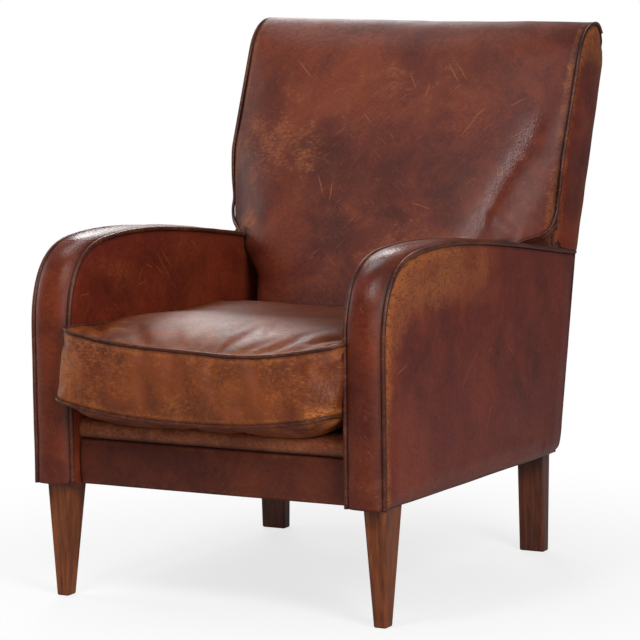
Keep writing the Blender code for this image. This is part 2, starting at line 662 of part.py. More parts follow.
def make_seat():
    """Front and rear rails, corner blocks, springs, deck and the covers of the front."""
    rail_half = FRAME_INNER - FIT
    front_low = RAIL_COVER_Y + COVER_DEPTH
    front_high = front_low + FRAME_THICKNESS
    rear_high = post_front(underside(BODY_DEPTH) + WOOD_LIFT) - FIT
    rear_low = rear_high - FRAME_THICKNESS

    def seat_rail(name, low_y, high_y, half):
        outline = [(low_y, underside(low_y) + WOOD_LIFT), (low_y, RAIL_TOP_Z),
                   (high_y, RAIL_TOP_Z), (high_y, underside(high_y) + WOOD_LIFT)]
        board(name, outline, 2 * half, 0.0, FRAME_WOOD)

    seat_rail("front_rail", front_low, front_high, rail_half)
    seat_rail("rear_rail", rear_low, rear_high, rail_half)

    block_top = RAIL_TOP_Z - 0.006
    for word, corner_y, turn in (("front", front_high + FIT, 1), ("rear", rear_low - FIT, -1)):
        for side, hand in ((1, "left"), (-1, "right")):
            data = bpy.data.curves.new("corner_block", "CURVE")
            data.dimensions = "2D"
            data.fill_mode = "BOTH"
            data.extrude = CORNER_BLOCK_HEIGHT / 2
            spline = data.splines.new("POLY")
            spline.points.add(2)
            corners = ((side * rail_half, corner_y), (side * (rail_half - CORNER_BLOCK_LEG), corner_y),
                       (side * rail_half, corner_y + turn * CORNER_BLOCK_LEG))
            for point, (x, y) in zip(spline.points, corners):
                point.co = (x, y, 0.0, 1.0)
            spline.use_cyclic_u = True
            block = add_object("corner_block_" + word + "_" + hand, data, FRAME_WOOD)
            block.location = (0.0, 0.0, block_top - CORNER_BLOCK_HEIGHT / 2)

    wire_z = RAIL_TOP_Z + FIT + SPRING_RADIUS
    points_per_wave = 4
    steps = SPRING_WAVES * points_per_wave
    for number in range(SPRING_COUNT):
        centre = (number - (SPRING_COUNT - 1) / 2) * SPRING_PITCH
        route = []
        for step in range(steps + 1):
            share = step / steps
            swing = SPRING_SWING * math.sin(2 * math.pi * step / points_per_wave)
            route.append((centre + swing, lerp(front_low + SPRING_END_GAP, rear_high - SPRING_END_GAP, share), wire_z))
        cord("seat_spring_%d" % (number + 1), route, SPRING_RADIUS, SPRING_STEEL)

    cloth_low = wire_z + SPRING_RADIUS + FIT
    cloth_high = cloth_low + CLOTH_THICKNESS
    deck_half = SEAT_HALF
    deck_rear = rear_high - 0.004
    box("spring_cloth", (-deck_half, front_high, cloth_low), (deck_half, deck_rear, cloth_high), JUTE)
    pad_low = cloth_high + FIT
    deck_low = DECK_TOP_Z - CLOTH_THICKNESS
    box("seat_pad", (-deck_half, LIP_REAR_Y + SOFT_FIT, pad_low), (deck_half, deck_rear, deck_low - SOFT_FIT), FOAM)
    box("deck_cover", (-deck_half, LIP_REAR_Y + SOFT_FIT, deck_low), (deck_half, deck_rear, DECK_TOP_Z),
        BLACK_CLOTH)

    # The rail cover, and above its seam the lip that turns in under the cushion
    board("front_rail_cover",
          [(RAIL_COVER_Y, underside(RAIL_COVER_Y)), (RAIL_COVER_Y, LIP_SEAM_Z - FIT),
           (RAIL_COVER_Y + LEATHER, LIP_SEAM_Z - FIT), (RAIL_COVER_Y + LEATHER, underside(RAIL_COVER_Y))],
          2 * SEAT_HALF, 0.0, BACK_LEATHER)
    lip = bezier((RAIL_COVER_Y - 0.003, LIP_SEAM_Z), (RAIL_COVER_Y - 0.009, DECK_TOP_Z - 0.006),
                 (RAIL_COVER_Y + 0.002, DECK_TOP_Z), (LIP_REAR_Y, DECK_TOP_Z), 7)
    halves = (-1.0, -0.5, 0.0, 0.5, 1.0)

    def lip_point(column, row):
        return (halves[column] * SEAT_HALF, *lip[row])

    leather_sheet("front_lip_cover", grid(len(halves) - 1, len(lip) - 1, lip_point), BACK_LEATHER)
    under = offset(lip, COVER_DEPTH)
    under[0] = (under[0][0], LIP_SEAM_Z)
    board("front_lip_pad", under + [(LIP_REAR_Y, pad_low), (front_low + 0.002, pad_low),
                                    (front_low + 0.002, LIP_SEAM_Z)], 2 * SEAT_HALF, 0.0, FOAM)

    # The dust cloth closes the bottom between the legs.
    cloth_front = front_low + DUST_CLOTH_END_GAP
    cloth_rear = rear_high - DUST_CLOTH_END_GAP
    board("dust_cloth",
          [(cloth_front, underside(cloth_front)), (cloth_front, underside(cloth_front) + CLOTH_THICKNESS),
           (cloth_rear, underside(cloth_rear) + CLOTH_THICKNESS), (cloth_rear, underside(cloth_rear))],
          2 * (INNER_FACE - DUST_CLOTH_INSET), 0.0, BLACK_CLOTH)


def make_cushion():
    """The loose cushion: a foam core in a top panel, a bottom panel and a boxing strip, with two pipings."""
    sag = CUSHION_BOTTOM_SEAM_Z - DECK_TOP_Z - SOFT_FIT

    def unit(index):
        """Grid lines of the cushion from -1 to 1, closer together near its edges."""
        t = 2 * index / BLOCK_SEGMENTS - 1
        return t * (1.3 - 0.3 * t * t)

    def bottom_z(u, v):
        return bottom_seam_z(u) - (sag + CUSHION_CORNER_LIFT * u * u) * pillow(u, v)

    def top_z(u, v):
        return top_seam_z(u) + CUSHION_TOP_CROWN * pillow(u, v)

    def point_maker(inset, height, rise):
        def place(column, row):
            u, v = unit(column), unit(row)
            return (*cushion_plan(u, v, inset), height(u, v) + rise)
        return place

    panel_inset = SEAM_INSET + SOFT_FIT
    steps = BLOCK_SEGMENTS
    top = grid(steps, steps, point_maker(panel_inset, top_z, 0.0))
    leather_sheet("cushion_top_panel", top, SEAT_LEATHER)
    bottom = grid(steps, steps, point_maker(panel_inset, bottom_z, 0.0))
    bmesh.ops.reverse_faces(bottom, faces=bottom.faces)
    leather_sheet("cushion_bottom_panel", bottom, SEAT_LEATHER)

    core_inset = panel_inset + SOFT_FIT
    core_depth = COVER_DEPTH + SOFT_FIT
    core = grid(steps, steps, point_maker(core_inset, top_z, -core_depth))
    under = point_maker(core_inset, bottom_z, core_depth)
    grown = bmesh.ops.extrude_face_region(core, geom=core.faces[:], use_keep_orig=True)
    for corner in grown["geom"]:
        if isinstance(corner, bmesh.types.BMVert):
            corner.co = under(corner[core.verts.layers.int["column"]], corner[core.verts.layers.int["row"]])
    bmesh.ops.recalc_face_normals(core, faces=core.faces)
    finish_mesh("cushion_core", core, FOAM)

    # The seams run round the edge of the same grid.
    first_side = [(unit(index), -1.0) for index in range(steps)]
    edge = list(first_side)
    for _ in range(3):
        first_side = [(-v, u) for u, v in first_side]
        edge += first_side

    ring = bmesh.new()
    bmesh.ops.create_circle(ring, segments=len(edge), radius=1.0)
    loops = [list(ring.verts)]
    for _ in range(2):
        edges = [piece for piece in ring.edges if all(corner in loops[-1] for corner in piece.verts)]
        grown = bmesh.ops.extrude_edge_only(ring, edges=edges)
        fresh = [piece for piece in grown["geom"] if isinstance(piece, bmesh.types.BMVert)]
        loops.append([min(fresh, key=lambda corner: (corner.co - before.co).length_squared)
                      for before in loops[-1]])
    for level, loop in enumerate(loops):
        for corner, (u, v) in zip(loop, edge):
            low = bottom_seam_z(u) + SEAM_INSET
            high = top_seam_z(u) - SEAM_INSET
            corner.co = (*cushion_plan(u, v, 0.0), lerp(low, high, level / 2))
    bmesh.ops.recalc_face_normals(ring, faces=ring.faces)
    leather_sheet("cushion_boxing", ring, SEAT_LEATHER)

    for word, seam, shift in (("top", top_seam_z, -PIPING_INSET), ("bottom", bottom_seam_z, PIPING_INSET)):
        route = [(*cushion_plan(u, v, PIPING_INSET), seam(u) + shift) for u, v in edge]
        cord("cushion_piping_" + word, route, PIPING_RADIUS, PIPING_LEATHER, closed=True)


def make_leg(name, side, top, top_centre, foot, foot_centre):
    """A square tapered leg whose top follows the body's sloping underside."""
    cage = bmesh.new()
    bmesh.ops.create_cube(cage, size=2.0)
    for corner in cage.verts:
        size, centre = (foot, foot_centre) if corner.co.z < 0 else (top, top_centre)
        y = centre[1] + corner.co.y * size[1] / 2
        z = 0.0 if corner.co.z < 0 else underside(y) + WOOD_LIFT - FIT
        corner.co = (side * centre[0] + corner.co.x * size[0] / 2, y, z)
    leg = finish_mesh(name, cage, LEG_WOOD, soft=False)
    rounding = leg.modifiers.new("rounded_edges", "BEVEL")
    rounding.width = FOOT_ROUNDING
    rounding.segments = 2


for hand, label in ((1, "left"), (-1, "right")):
    make_arm(hand, label)
    make_leg("front_leg_" + label, hand, FRONT_LEG_TOP, FRONT_LEG_CENTRE, FRONT_LEG_FOOT, FRONT_FOOT_CENTRE)
    make_leg("rear_leg_" + label, hand, REAR_LEG_TOP, REAR_LEG_CENTRE, REAR_LEG_FOOT, REAR_LEG_CENTRE)
make_back()
make_seat()
make_cushion()
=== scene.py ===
"""Worn leather club chair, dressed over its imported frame: piped leather covers, a loose seat cushion
shaped by a cloth simulation, stained legs, and the plain studio that it stands in.

Inside the functions y is measured back from the arms' front plane, as on the real chair's side view.
"""

import math

import bmesh
import bpy
import numpy as np
from mathutils import Matrix, Vector, noise

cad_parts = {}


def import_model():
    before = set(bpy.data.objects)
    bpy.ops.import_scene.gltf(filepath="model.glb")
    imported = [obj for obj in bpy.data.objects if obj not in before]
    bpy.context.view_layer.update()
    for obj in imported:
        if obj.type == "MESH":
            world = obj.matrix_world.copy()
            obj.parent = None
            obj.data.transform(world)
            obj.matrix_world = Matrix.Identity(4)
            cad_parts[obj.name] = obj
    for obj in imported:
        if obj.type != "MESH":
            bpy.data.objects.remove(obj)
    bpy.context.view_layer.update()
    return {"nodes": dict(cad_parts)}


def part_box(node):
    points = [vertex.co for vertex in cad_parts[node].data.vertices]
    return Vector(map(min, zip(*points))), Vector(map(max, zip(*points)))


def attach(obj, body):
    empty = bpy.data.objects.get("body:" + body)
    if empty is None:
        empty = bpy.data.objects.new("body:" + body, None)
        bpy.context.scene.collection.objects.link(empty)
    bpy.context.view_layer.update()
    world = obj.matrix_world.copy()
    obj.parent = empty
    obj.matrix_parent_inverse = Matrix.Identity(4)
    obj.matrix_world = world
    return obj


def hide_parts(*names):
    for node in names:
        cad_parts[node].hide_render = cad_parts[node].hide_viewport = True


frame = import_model()

# Sizes of the leather work, in metres
LEATHER = 0.002
ARM_PIPING_RADIUS = 0.0040
BACK_PIPING_RADIUS = 0.0030
CUSHION_PIPING_RADIUS = 0.0031
PIPING_INSET = 0.0015
SEAM_INSET = 0.0030
SEAM_DIP = 0.0030
SEAM_REACH = 0.007
ARM_CROWN = 0.0040
BAND_CROWN = 0.0076
TOP_CROWN = 0.0042
MESH_STEP = 0.005
PIPING_STEP = 0.006
PIPING_SIDES = 10
BAND_INSET = 0.0028
STRAP_THICKNESS = 0.0015

# The arm's side outline
ARM_FRONT_TOP_Z = 0.455
ARM_SHOULDER_Y = 0.135
ARM_SHOULDER_Z = 0.608
ARM_REAR_Y = 0.752
ARM_REAR_Z = 0.541

# The back's side line and the middle of its face
BACK_SIDE_Y = 0.655
BACK_SIDE_ARM_Y = 0.682
BACK_SIDE_MIDDLE = (0.695, 0.710)
BACK_SIDE_TOP = (0.767, 0.888)
BACK_FACE_LOW = (0.510, 0.450)
BACK_FACE_TOP_Y = 0.742
BACK_TOP_Z = 0.941
BACK_TOP_REAR = (0.881, 0.904)
BACK_FOOT_Z = 0.3125
EAR_Z = 0.582
EAR_RECESS = 0.007
EAR_SLOPE = 0.35
BACK_LEAN = math.radians(27.9)
REAR_BOW = 0.070
REAR_ROUNDING = 0.004
ROUNDED_FROM_Z = 0.86
EAR_NARROWING = 0.0055
EAR_TUCK = 0.006
EAR_TURN_X = (0.266, 0.278, 0.291, 0.302, 0.311, 0.3180, 0.3228, 0.3252)
EAR_TURN_Z = (0.558, 0.566, 0.5725, 0.5765, 0.5805, 0.5860, 0.5945, 0.604)

# Folds where the back's cover turns over the arms: start, end, depth and width
EAR_FOLDS = (((0.262, 0.62, 0.580), (0.240, 0.60, 0.625), 0.0020, 0.010),
             ((0.268, 0.62, 0.590), (0.286, 0.63, 0.625), 0.0012, 0.008),
             ((0.258, 0.60, 0.520), (0.215, 0.57, 0.532), 0.0015, 0.010))

# Seat and rail
RAIL_COVER_Y = 0.025
RAIL_TOP_Z = 0.262
LIP_SEAM_Z = 0.278
DECK_TOP_Z = 0.312
LIP_REAR_Y = 0.060
CUSHION_FRONT_TOP_Y = -0.030
CUSHION_FRONT_BOTTOM_Y = -0.0405
CUSHION_REAR_Y = 0.500
CUSHION_CLEARANCE = 0.0045
CUSHION_CORNER = 0.022
CUSHION_SHIFT = 0.012
CUSHION_STEP = 0.0075
CUSHION_CROWN = 0.021
CUSHION_SETTLE = 0.014
CUSHION_FRAMES = 20

# Places taken from the frame
OUTER_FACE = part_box("arm_outer_panel_left")[1].x
INNER_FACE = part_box("arm_inner_panel_left")[0].x
BACK_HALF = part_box("back_side_band_left")[1].x
FRONT_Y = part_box("arm_band_left")[0].y + ARM_CROWN
POST_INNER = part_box("front_post_left")[0].x
UNDER_FRONT_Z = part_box("arm_outer_panel_left")[0].z + 0.011
UNDER_REAR_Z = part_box("arm_outer_panel_left")[0].z
BODY_DEPTH = 0.678
SEAT_HALF = INNER_FACE - 0.0005
COVER_HALF = BACK_HALF - 0.0045


def lerp(a, b, t):
    return a + (b - a) * t


def smooth(t):
    t = np.clip(t, 0.0, 1.0)
    return t * t * (3 - 2 * t)


def glow(distance, reach):
    return np.exp(-(distance / reach) ** 2)


def bezier(start, start_handle, end_handle, end, steps):
    t = np.linspace(0.0, 1.0, steps + 1)[:, None]
    corners = np.array((start, start_handle, end_handle, end), float)
    weights = np.hstack(((1 - t) ** 3, 3 * t * (1 - t) ** 2, 3 * t * t * (1 - t), t ** 3))
    return weights @ corners


def lengths_along(line):
    return np.concatenate(([0.0], np.cumsum(np.linalg.norm(np.diff(line, axis=0), axis=1))))


def count_points(line, count):
    """The same line with a number of points at even steps."""
    lengths = lengths_along(line)
    places = np.linspace(0.0, lengths[-1], count)
    return np.stack([np.interp(places, lengths, line[:, axis]) for axis in range(line.shape[1])], axis=1)


def resample(line, step):
    """The same line with points at even steps of about the given length."""
    line = np.asarray(line, float)
    return count_points(line, max(2, int(round(lengths_along(line)[-1] / step)) + 1))


def inward(line):
    """Directions to the right-hand side of a (y, z) line, which is the inside of the chair."""
    along = np.gradient(line, axis=0)
    along /= np.linalg.norm(along, axis=1)[:, None]
    return np.stack((along[:, 1], -along[:, 0]), axis=1)


def offset(line, depth):
    return line + depth * inward(line)


def underside(y):
    return lerp(UNDER_FRONT_Z, UNDER_REAR_Z, y / BODY_DEPTH)


def rear_edge(z):
    low = lerp(BODY_DEPTH, ARM_REAR_Y, (z - UNDER_REAR_Z) / (ARM_REAR_Z - UNDER_REAR_Z))
    high = lerp(ARM_REAR_Y, BACK_TOP_REAR[0], (z - ARM_REAR_Z) / (BACK_TOP_REAR[1] - ARM_REAR_Z))
    return np.where(z < ARM_REAR_Z, low, high)


def rear_face(x, z):
    bow = REAR_BOW * (BACK_TOP_REAR[1] - z) / (BACK_TOP_REAR[1] - UNDER_REAR_Z)
    return rear_edge(z) + bow * (1 - (np.abs(x) / OUTER_FACE) ** 10)


def arm_profile():
    """The arm's outline from the bottom of its front, over the top, to its rear end."""
    rise = (ARM_SHOULDER_Z - ARM_FRONT_TOP_Z) * 0.56
    front = bezier((0.0, ARM_FRONT_TOP_Z), (0.0, ARM_FRONT_TOP_Z + rise),
                   (ARM_SHOULDER_Y * 0.22, ARM_SHOULDER_Z - 0.004), (ARM_SHOULDER_Y, ARM_SHOULDER_Z), 60)
    run = ARM_REAR_Y - ARM_SHOULDER_Y
    top = bezier((ARM_SHOULDER_Y, ARM_SHOULDER_Z), (ARM_SHOULDER_Y + run * 0.27, ARM_SHOULDER_Z + 0.014),
                 (ARM_SHOULDER_Y + run * 0.67, lerp(ARM_REAR_Z, ARM_SHOULDER_Z, 0.45)),
                 (ARM_REAR_Y, ARM_REAR_Z), 80)
    foot = np.array(((0.0, UNDER_FRONT_Z), (0.0, (UNDER_FRONT_Z + ARM_FRONT_TOP_Z) / 2)))
    return np.vstack((foot, front, top[1:]))


PROFILE = arm_profile()
FRONT_LINE = PROFILE[PROFILE[:, 1] <= ARM_FRONT_TOP_Z]
TOP_LINE = PROFILE[len(FRONT_LINE) - 1:]


def arm_top(y):
    return np.interp(y, TOP_LINE[:, 0], TOP_LINE[:, 1])


def post_front(z):
    return rear_face(POST_INNER, z) - 0.0505


def distance_to(points, line):
    """Distance of each point to a line of points in the same space."""
    flat = points.reshape(-1, points.shape[-1])
    best = np.full(len(flat), 1e9)
    for start, end in zip(line[:-1], line[1:]):
        along = end - start
        share = np.clip((flat - start) @ along / max(along @ along, 1e-12), 0.0, 1.0)
        best = np.minimum(best, np.linalg.norm(flat - start - share[:, None] * along, axis=1))
    return best.reshape(points.shape[:-1])


def ripple(points, size, seed):
    """Smooth noise from -1 to 1 at each point, with features of the given size."""
    shift = Vector((seed * 3.7, seed * 1.3, seed * 7.1))
    flat = points.reshape(-1, 3) / size
    return np.array([noise.noise(Vector(point) + shift) for point in flat]).reshape(points.shape[:-1])


def sheet_normals(points):
    normals = np.cross(np.gradient(points, axis=1), np.gradient(points, axis=0))
    lengths = np.linalg.norm(normals, axis=-1, keepdims=True)
    return normals / np.maximum(lengths, 1e-12)


def outward_normals(points, outward):
    normals = sheet_normals(points)
    if np.mean(normals @ np.array(outward, float)) < 0:
        normals = -normals
    return normals


def pushed(points, outward, amounts):
    """The sheet with each point moved out of it by its own amount."""
    return points + outward_normals(points, outward) * amounts[..., None]


def crease(points, outward, start, end, depth, width):
    """Presses a soft fold into a sheet along the line from start to end."""
    away = distance_to(points, np.array((start, end), float))
    fold = -depth * glow(away, width) + 0.45 * depth * glow(away - 2.1 * width, width)
    return pushed(points, outward, fold)


def upright(flat):
    """Grid points (x, y, z) at x = 0 from grid points (y, z)."""
    return np.concatenate((np.zeros((*flat.shape[:2], 1)), flat), axis=-1)


def world(points):
    moved = np.array(points, float)
    moved[..., 1] += FRONT_Y
    return moved


def set_marks(data, **marks):
    for name, values in marks.items():
        layer = data.attributes.new(name, "FLOAT", "POINT")
        layer.data.foreach_set("value", np.asarray(values, np.float32).reshape(-1))


def sheet_mesh(name, points, outward, wear, seam, keep=None, polish=None):
    """A mesh of quads through a grid of points, with its wear, seam and polish marks; seam holds dark seam
    lines and painted shade.
    """
    rows, columns = points.shape[:2]
    index = np.arange(rows * columns).reshape(rows, columns)
    corners = np.stack((index[:-1, :-1], index[:-1, 1:], index[1:, 1:], index[1:, :-1]), axis=-1)
    corners = corners.reshape(-1, 4)
    if keep is not None:
        corners = corners[keep.reshape(-1)]
    if np.mean(sheet_normals(points) @ np.array(outward, float)) < 0:
        corners = corners[:, ::-1]
    used, corners = np.unique(corners, return_inverse=True)
    corners = corners.reshape(-1, 4)
    data = bpy.data.meshes.new(name)
    data.from_pydata(world(points).reshape(-1, 3)[used].tolist(), [], corners.tolist())
    marks = {"wear": wear, "seam": seam}
    if polish is not None:
        marks["polish"] = polish
    set_marks(data, **{mark: np.asarray(values).reshape(-1)[used] for mark, values in marks.items()})
    data.shade_smooth()
    return data


def face_middles(points):
    return (points[:-1, :-1] + points[1:, 1:] + points[:-1, 1:] + points[1:, :-1]) / 4


def link(name, data):
    made = bpy.data.objects.new(name, data)
    bpy.context.scene.collection.objects.link(made)
    return made


def add_piece(name, data, finish, nodes):
    piece = link(name, data)
    data.materials.append(finish)
    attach(piece, "root")
    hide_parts(*nodes)
    return piece


def add_sheet(name, points, outward, wear, seam, finish, nodes,
              keep=None, polish=None, thickness=LEATHER):
    """A piece of leather or cloth through a grid of points, thickened inwards."""
    piece = add_piece(name, sheet_mesh(name, points, outward, wear, seam, keep, polish), finish, nodes)
    skin = piece.modifiers.new("thickness", "SOLIDIFY")
    skin.thickness = thickness
    skin.offset = -1.0
    return piece


def add_cord(name, route, radius, node, closed=False):
    add_piece(name, tube_mesh(name, route, radius, closed), PIPING_LEATHER, [node])


def tube_mesh(name, route, radius, closed):
    """A round cord along a route of (x, y, z) points."""
    count = len(route)
    sides = PIPING_SIDES
    if closed:
        along = np.roll(route, -1, axis=0) - np.roll(route, 1, axis=0)
    else:
        along = np.gradient(route, axis=0)
    along /= np.linalg.norm(along, axis=1)[:, None]
    across = np.zeros_like(route)
    seed = np.cross(along[0], (0.3, 0.5, 0.8))
    across[0] = seed / np.linalg.norm(seed)
    for place in range(1, count):
        carried = across[place - 1] - along[place] * (across[place - 1] @ along[place])
        across[place] = carried / np.linalg.norm(carried)
    third = np.cross(along, across)
    if closed:
        start, end = across[0], across[-1]
        twist = math.atan2(end @ third[0], end @ start)
        turn = -twist * np.arange(count)[:, None] / count
        across, third = (across * np.cos(turn) + third * np.sin(turn),
                         third * np.cos(turn) - across * np.sin(turn))
    angles = np.linspace(0.0, 2 * math.pi, sides, endpoint=False)
    radii = np.broadcast_to(radius, (count,))
    spokes = across[:, None] * np.cos(angles)[None, :, None] + third[:, None] * np.sin(angles)[None, :, None]
    rings = route[:, None] + radii[:, None, None] * spokes
    faces = []
    for place in range(count if closed else count - 1):
        after = (place + 1) % count
        for side in range(sides):
            beside = (side + 1) % sides
            faces.append((place * sides + side, place * sides + beside,
                          after * sides + beside, after * sides + side))
    if not closed:
        faces.append(tuple(reversed(range(sides))))
        faces.append(tuple((count - 1) * sides + side for side in range(sides)))
    data = bpy.data.meshes.new(name)
    data.from_pydata(world(rings).reshape(-1, 3).tolist(), [], faces)
    set_marks(data, wear=np.full(count * sides, 0.35), seam=np.zeros(count * sides))
    data.shade_smooth()
    return data


def coons(bottom, top, front, rear):
    """The patch of points between four edge lines: bottom and top run back, front and rear run up."""
    u = np.linspace(0.0, 1.0, len(bottom))[None, :, None]
    v = np.linspace(0.0, 1.0, len(front))[:, None, None]
    ruled = (1 - v) * bottom[None] + v * top[None] + (1 - u) * front[:, None] + u * rear[:, None]
    corners = (1 - v) * ((1 - u) * bottom[0] + u * bottom[-1]) + v * ((1 - u) * top[0] + u * top[-1])
    return ruled - corners


# Materials

class Nodes:
    """A node tree with short words for the nodes used here."""

    def __init__(self, tree):
        self.tree = tree

    def new(self, kind, **settings):
        made = self.tree.nodes.new(kind)
        for key, value in settings.items():
            setattr(made, key, value)
        return made

    def feed(self, socket, value):
        if isinstance(value, bpy.types.NodeSocket):
            self.tree.links.new(value, socket)
        elif isinstance(value, tuple) and len(value) == 3 and socket.type == "RGBA":
            socket.default_value = (*value, 1.0)
        else:
            socket.default_value = value

    def fill(self, made, **values):
        for name, value in values.items():
            self.feed(made.inputs[name.replace("_", " ")], value)
        return made

    def fill_in_order(self, made, *values):
        for socket, value in zip(made.inputs, values):
            self.feed(socket, value)
        return made.outputs[0]

    def math(self, operation, a, b, clamp=False):
        return self.fill_in_order(self.new("ShaderNodeMath", operation=operation, use_clamp=clamp), a, b)

    def plus(self, a, b, clamp=False):
        return self.math("ADD", a, b, clamp)

    def minus(self, a, b):
        return self.math("SUBTRACT", a, b)

    def times(self, a, b):
        return self.math("MULTIPLY", a, b)

    def most(self, a, b):
        return self.math("MAXIMUM", a, b)

    def blend(self, share, first, second):
        return self.fill_in_order(self.new("ShaderNodeMixShader"), share, first, second)


class Paint(Nodes):
    """A material's node tree."""

    def __init__(self, name):
        self.material = bpy.data.materials.new(name)
        self.material.use_nodes = True
        super().__init__(self.material.node_tree)
        self.shader = self.tree.nodes["Principled BSDF"]
        self.place = self.new("ShaderNodeTexCoord").outputs["Object"]

    def range(self, value, low, high, to_low=0.0, to_high=1.0):
        made = self.new("ShaderNodeMapRange", interpolation_type="SMOOTHSTEP")
        return self.fill_in_order(made, value, low, high, to_low, to_high)

    def length(self, place):
        made = self.new("ShaderNodeVectorMath", operation="LENGTH")
        self.feed(made.inputs[0], place)
        return made.outputs["Value"]

    def stretched(self, sizes, turn=(0.0, 0.0, 0.0), middle=(0.0, 0.0, 0.0), place=None):
        """Texture places measured from a middle along turned axes, each in steps of its own size."""
        made = self.new("ShaderNodeMapping", vector_type="TEXTURE")
        self.fill(made, Vector=place or self.place, Location=middle, Rotation=turn, Scale=sizes)
        return made.outputs[0]

    def noise(self, scale, detail=3.0, roughness=0.55, distortion=0.0, place=None):
        made = self.fill(self.new("ShaderNodeTexNoise"), Vector=place or self.place, Scale=scale,
                         Detail=detail, Roughness=roughness, Distortion=distortion)
        return made.outputs["Fac"]

    def cells(self, scale, feature="F1", place=None):
        made = self.new("ShaderNodeTexVoronoi", feature=feature)
        return self.fill(made, Vector=place or self.place, Scale=scale).outputs["Distance"]

    def mark(self, name):
        return self.new("ShaderNodeAttribute", attribute_name=name).outputs["Fac"]

    def mix(self, share, a, b):
        made = self.new("ShaderNodeMix", data_type="RGBA")
        self.feed(made.inputs["Factor"], share)
        self.feed(made.inputs[6], a)
        self.feed(made.inputs[7], b)
        return made.outputs[2]

    def bump(self, height, distance):
        made = self.fill(self.new("ShaderNodeBump"), Strength=1.0, Distance=distance, Height=height)
        self.feed(self.shader.inputs["Normal"], made.outputs[0])

    def finish(self, **sockets):
        self.fill(self.shader, **sockets)
        return self.material


def darker(colour, share):
    return tuple(share * part for part in colour)


def turned(out, along):
    """The turn that lays a texture's x axis along a direction and its z axis along a surface's normal."""
    return Matrix((along, out.cross(along), out)).transposed().to_euler()


def hairs(paint, out, angle, length, spread):
    """Short fine scratches that all run one way, in the places that noise of the given spread picks."""
    level = Vector((0, 0, 1)).cross(out).normalized()
    along = level * math.cos(angle) + out.cross(level) * math.sin(angle)
    place = paint.stretched((length, HAIR_WIDTH, HAIR_DEPTH), turned(out, along))
    lines = paint.noise(1.0, 1.0, 0.5, 0.0, place)
    patches = paint.noise(spread, 2.0)
    return paint.times(paint.range(lines, 0.665, 0.745), paint.range(patches, 0.50, 0.62))


def long_scratches(paint, out, lines, broken):
    """Single slightly bent scratches, each between two places (y measured back from the arms' front)."""
    bend = paint.fill(paint.new("ShaderNodeTexNoise"), Vector=paint.place, Scale=26.0)
    bent = paint.new("ShaderNodeVectorMath", operation="MULTIPLY_ADD")
    bent = paint.fill_in_order(bent, bend.outputs["Color"], (SCRATCH_BEND,) * 3, paint.place)
    half_bend = Vector((SCRATCH_BEND / 2,) * 3)
    shown = 0.0
    for start, end in lines:
        start, end = (Vector(world(corner)) + half_bend for corner in (start, end))
        along = (end - start).normalized()
        sizes = ((end - start).length / 2, SCRATCH_WIDTH, SCRATCH_DEPTH)
        place = paint.stretched(sizes, turned(out, along), (start + end) / 2, bent)
        shown = paint.most(shown, paint.range(paint.length(place), 0.45, 1.0, 1.0, 0.0))
    return paint.times(shown, paint.range(broken, 0.38, 0.48, 0.45, 1.0))


def leather(name, colours, roughness, scratch, stain, out, lines=()):
    """Old aniline leather: mottled, polished where it is touched, pale where it is rubbed through, darkened
    by painted shade along seams and in recesses.
    """
    dark, mid, light, worn = colours
    out = Vector(out).normalized()
    paint = Paint(name)
    clouds = paint.noise(3.8, 3.0, 0.5, 0.5)
    blotches = paint.noise(17.0, 6.0, 0.66, 0.4)
    specks = paint.noise(150.0, 5.0, 0.75)
    stains = paint.noise(7.0, 6.0, 0.66, 0.5)
    streaks = paint.noise(1.0, 5.0, 0.70, 0.3, paint.stretched(STREAK_SIZES))
    colour = paint.mix(paint.range(clouds, 0.40, 0.66), mid, light)
    colour = paint.mix(paint.range(blotches, 0.42, 0.62, 0.0, 0.45), colour, light)
    for part, high, share in ((stains, 0.70, stain), (streaks, 0.70, 0.45), (specks, 0.66, 0.40)):
        colour = paint.mix(paint.range(part, 0.46, high, 0.0, share), colour, dark)
    wear = paint.mark("wear")
    rubbed = wear
    for part, share in ((blotches, 1.1), (specks, 1.2), (streaks, 1.3)):
        rubbed = paint.plus(rubbed, paint.times(paint.minus(part, 0.5), share))
    rubbed = paint.range(rubbed, 0.20, 1.10)
    colour = paint.mix(rubbed, colour, worn)
    pits = paint.times(paint.range(streaks, 0.52, 0.62), paint.range(wear, 0.30, 0.80))
    colour = paint.mix(paint.times(pits, 0.60), colour, darker(dark, 0.8))
    marks = hairs(paint, out, 0.85, 0.030, 6.0)
    marks = paint.most(marks, hairs(paint, out, -0.75, 0.022, 7.3))
    marks = paint.most(paint.times(marks, 0.55), long_scratches(paint, out, lines, specks))
    colour = paint.mix(paint.times(marks, scratch), colour, worn)
    web = paint.cells(1.0, "DISTANCE_TO_EDGE", paint.stretched((0.0070, 0.0070, 0.0110)))
    cracks = paint.times(paint.range(web, 0.0, 0.09, 1.0, 0.0), paint.mark("creased"))
    colour = paint.mix(paint.times(cracks, 0.6), colour, darker(dark, 0.7))
    # The seam mark darkens the colour: dark seam lines, with painted shade beside the pipings and in recesses
    # between parts.
    seam = paint.mark("seam")
    colour = paint.mix(paint.times(seam, 0.85), colour, darker(dark, 0.18))
    grain = paint.cells(560.0)
    folds = paint.noise(46.0, 5.0, 0.66, 0.8)
    height = paint.plus(paint.times(grain, 0.14), paint.times(folds, 0.22))
    for part, depth in ((marks, 0.22), (pits, 0.35), (cracks, 0.55)):
        height = paint.minus(height, paint.times(part, depth))
    paint.bump(height, 0.0012)
    rough = paint.plus(roughness - 0.12, paint.times(specks, 0.24))
    rough = paint.plus(rough, paint.times(rubbed, 0.12))
    rough = paint.minus(rough, paint.times(paint.mark("polish"), 0.28))
    rough = paint.plus(rough, paint.times(seam, 0.15), clamp=True)
    return paint.finish(Base_Color=colour, Roughness=rough, Specular_IOR_Level=LEATHER_GLOSS)


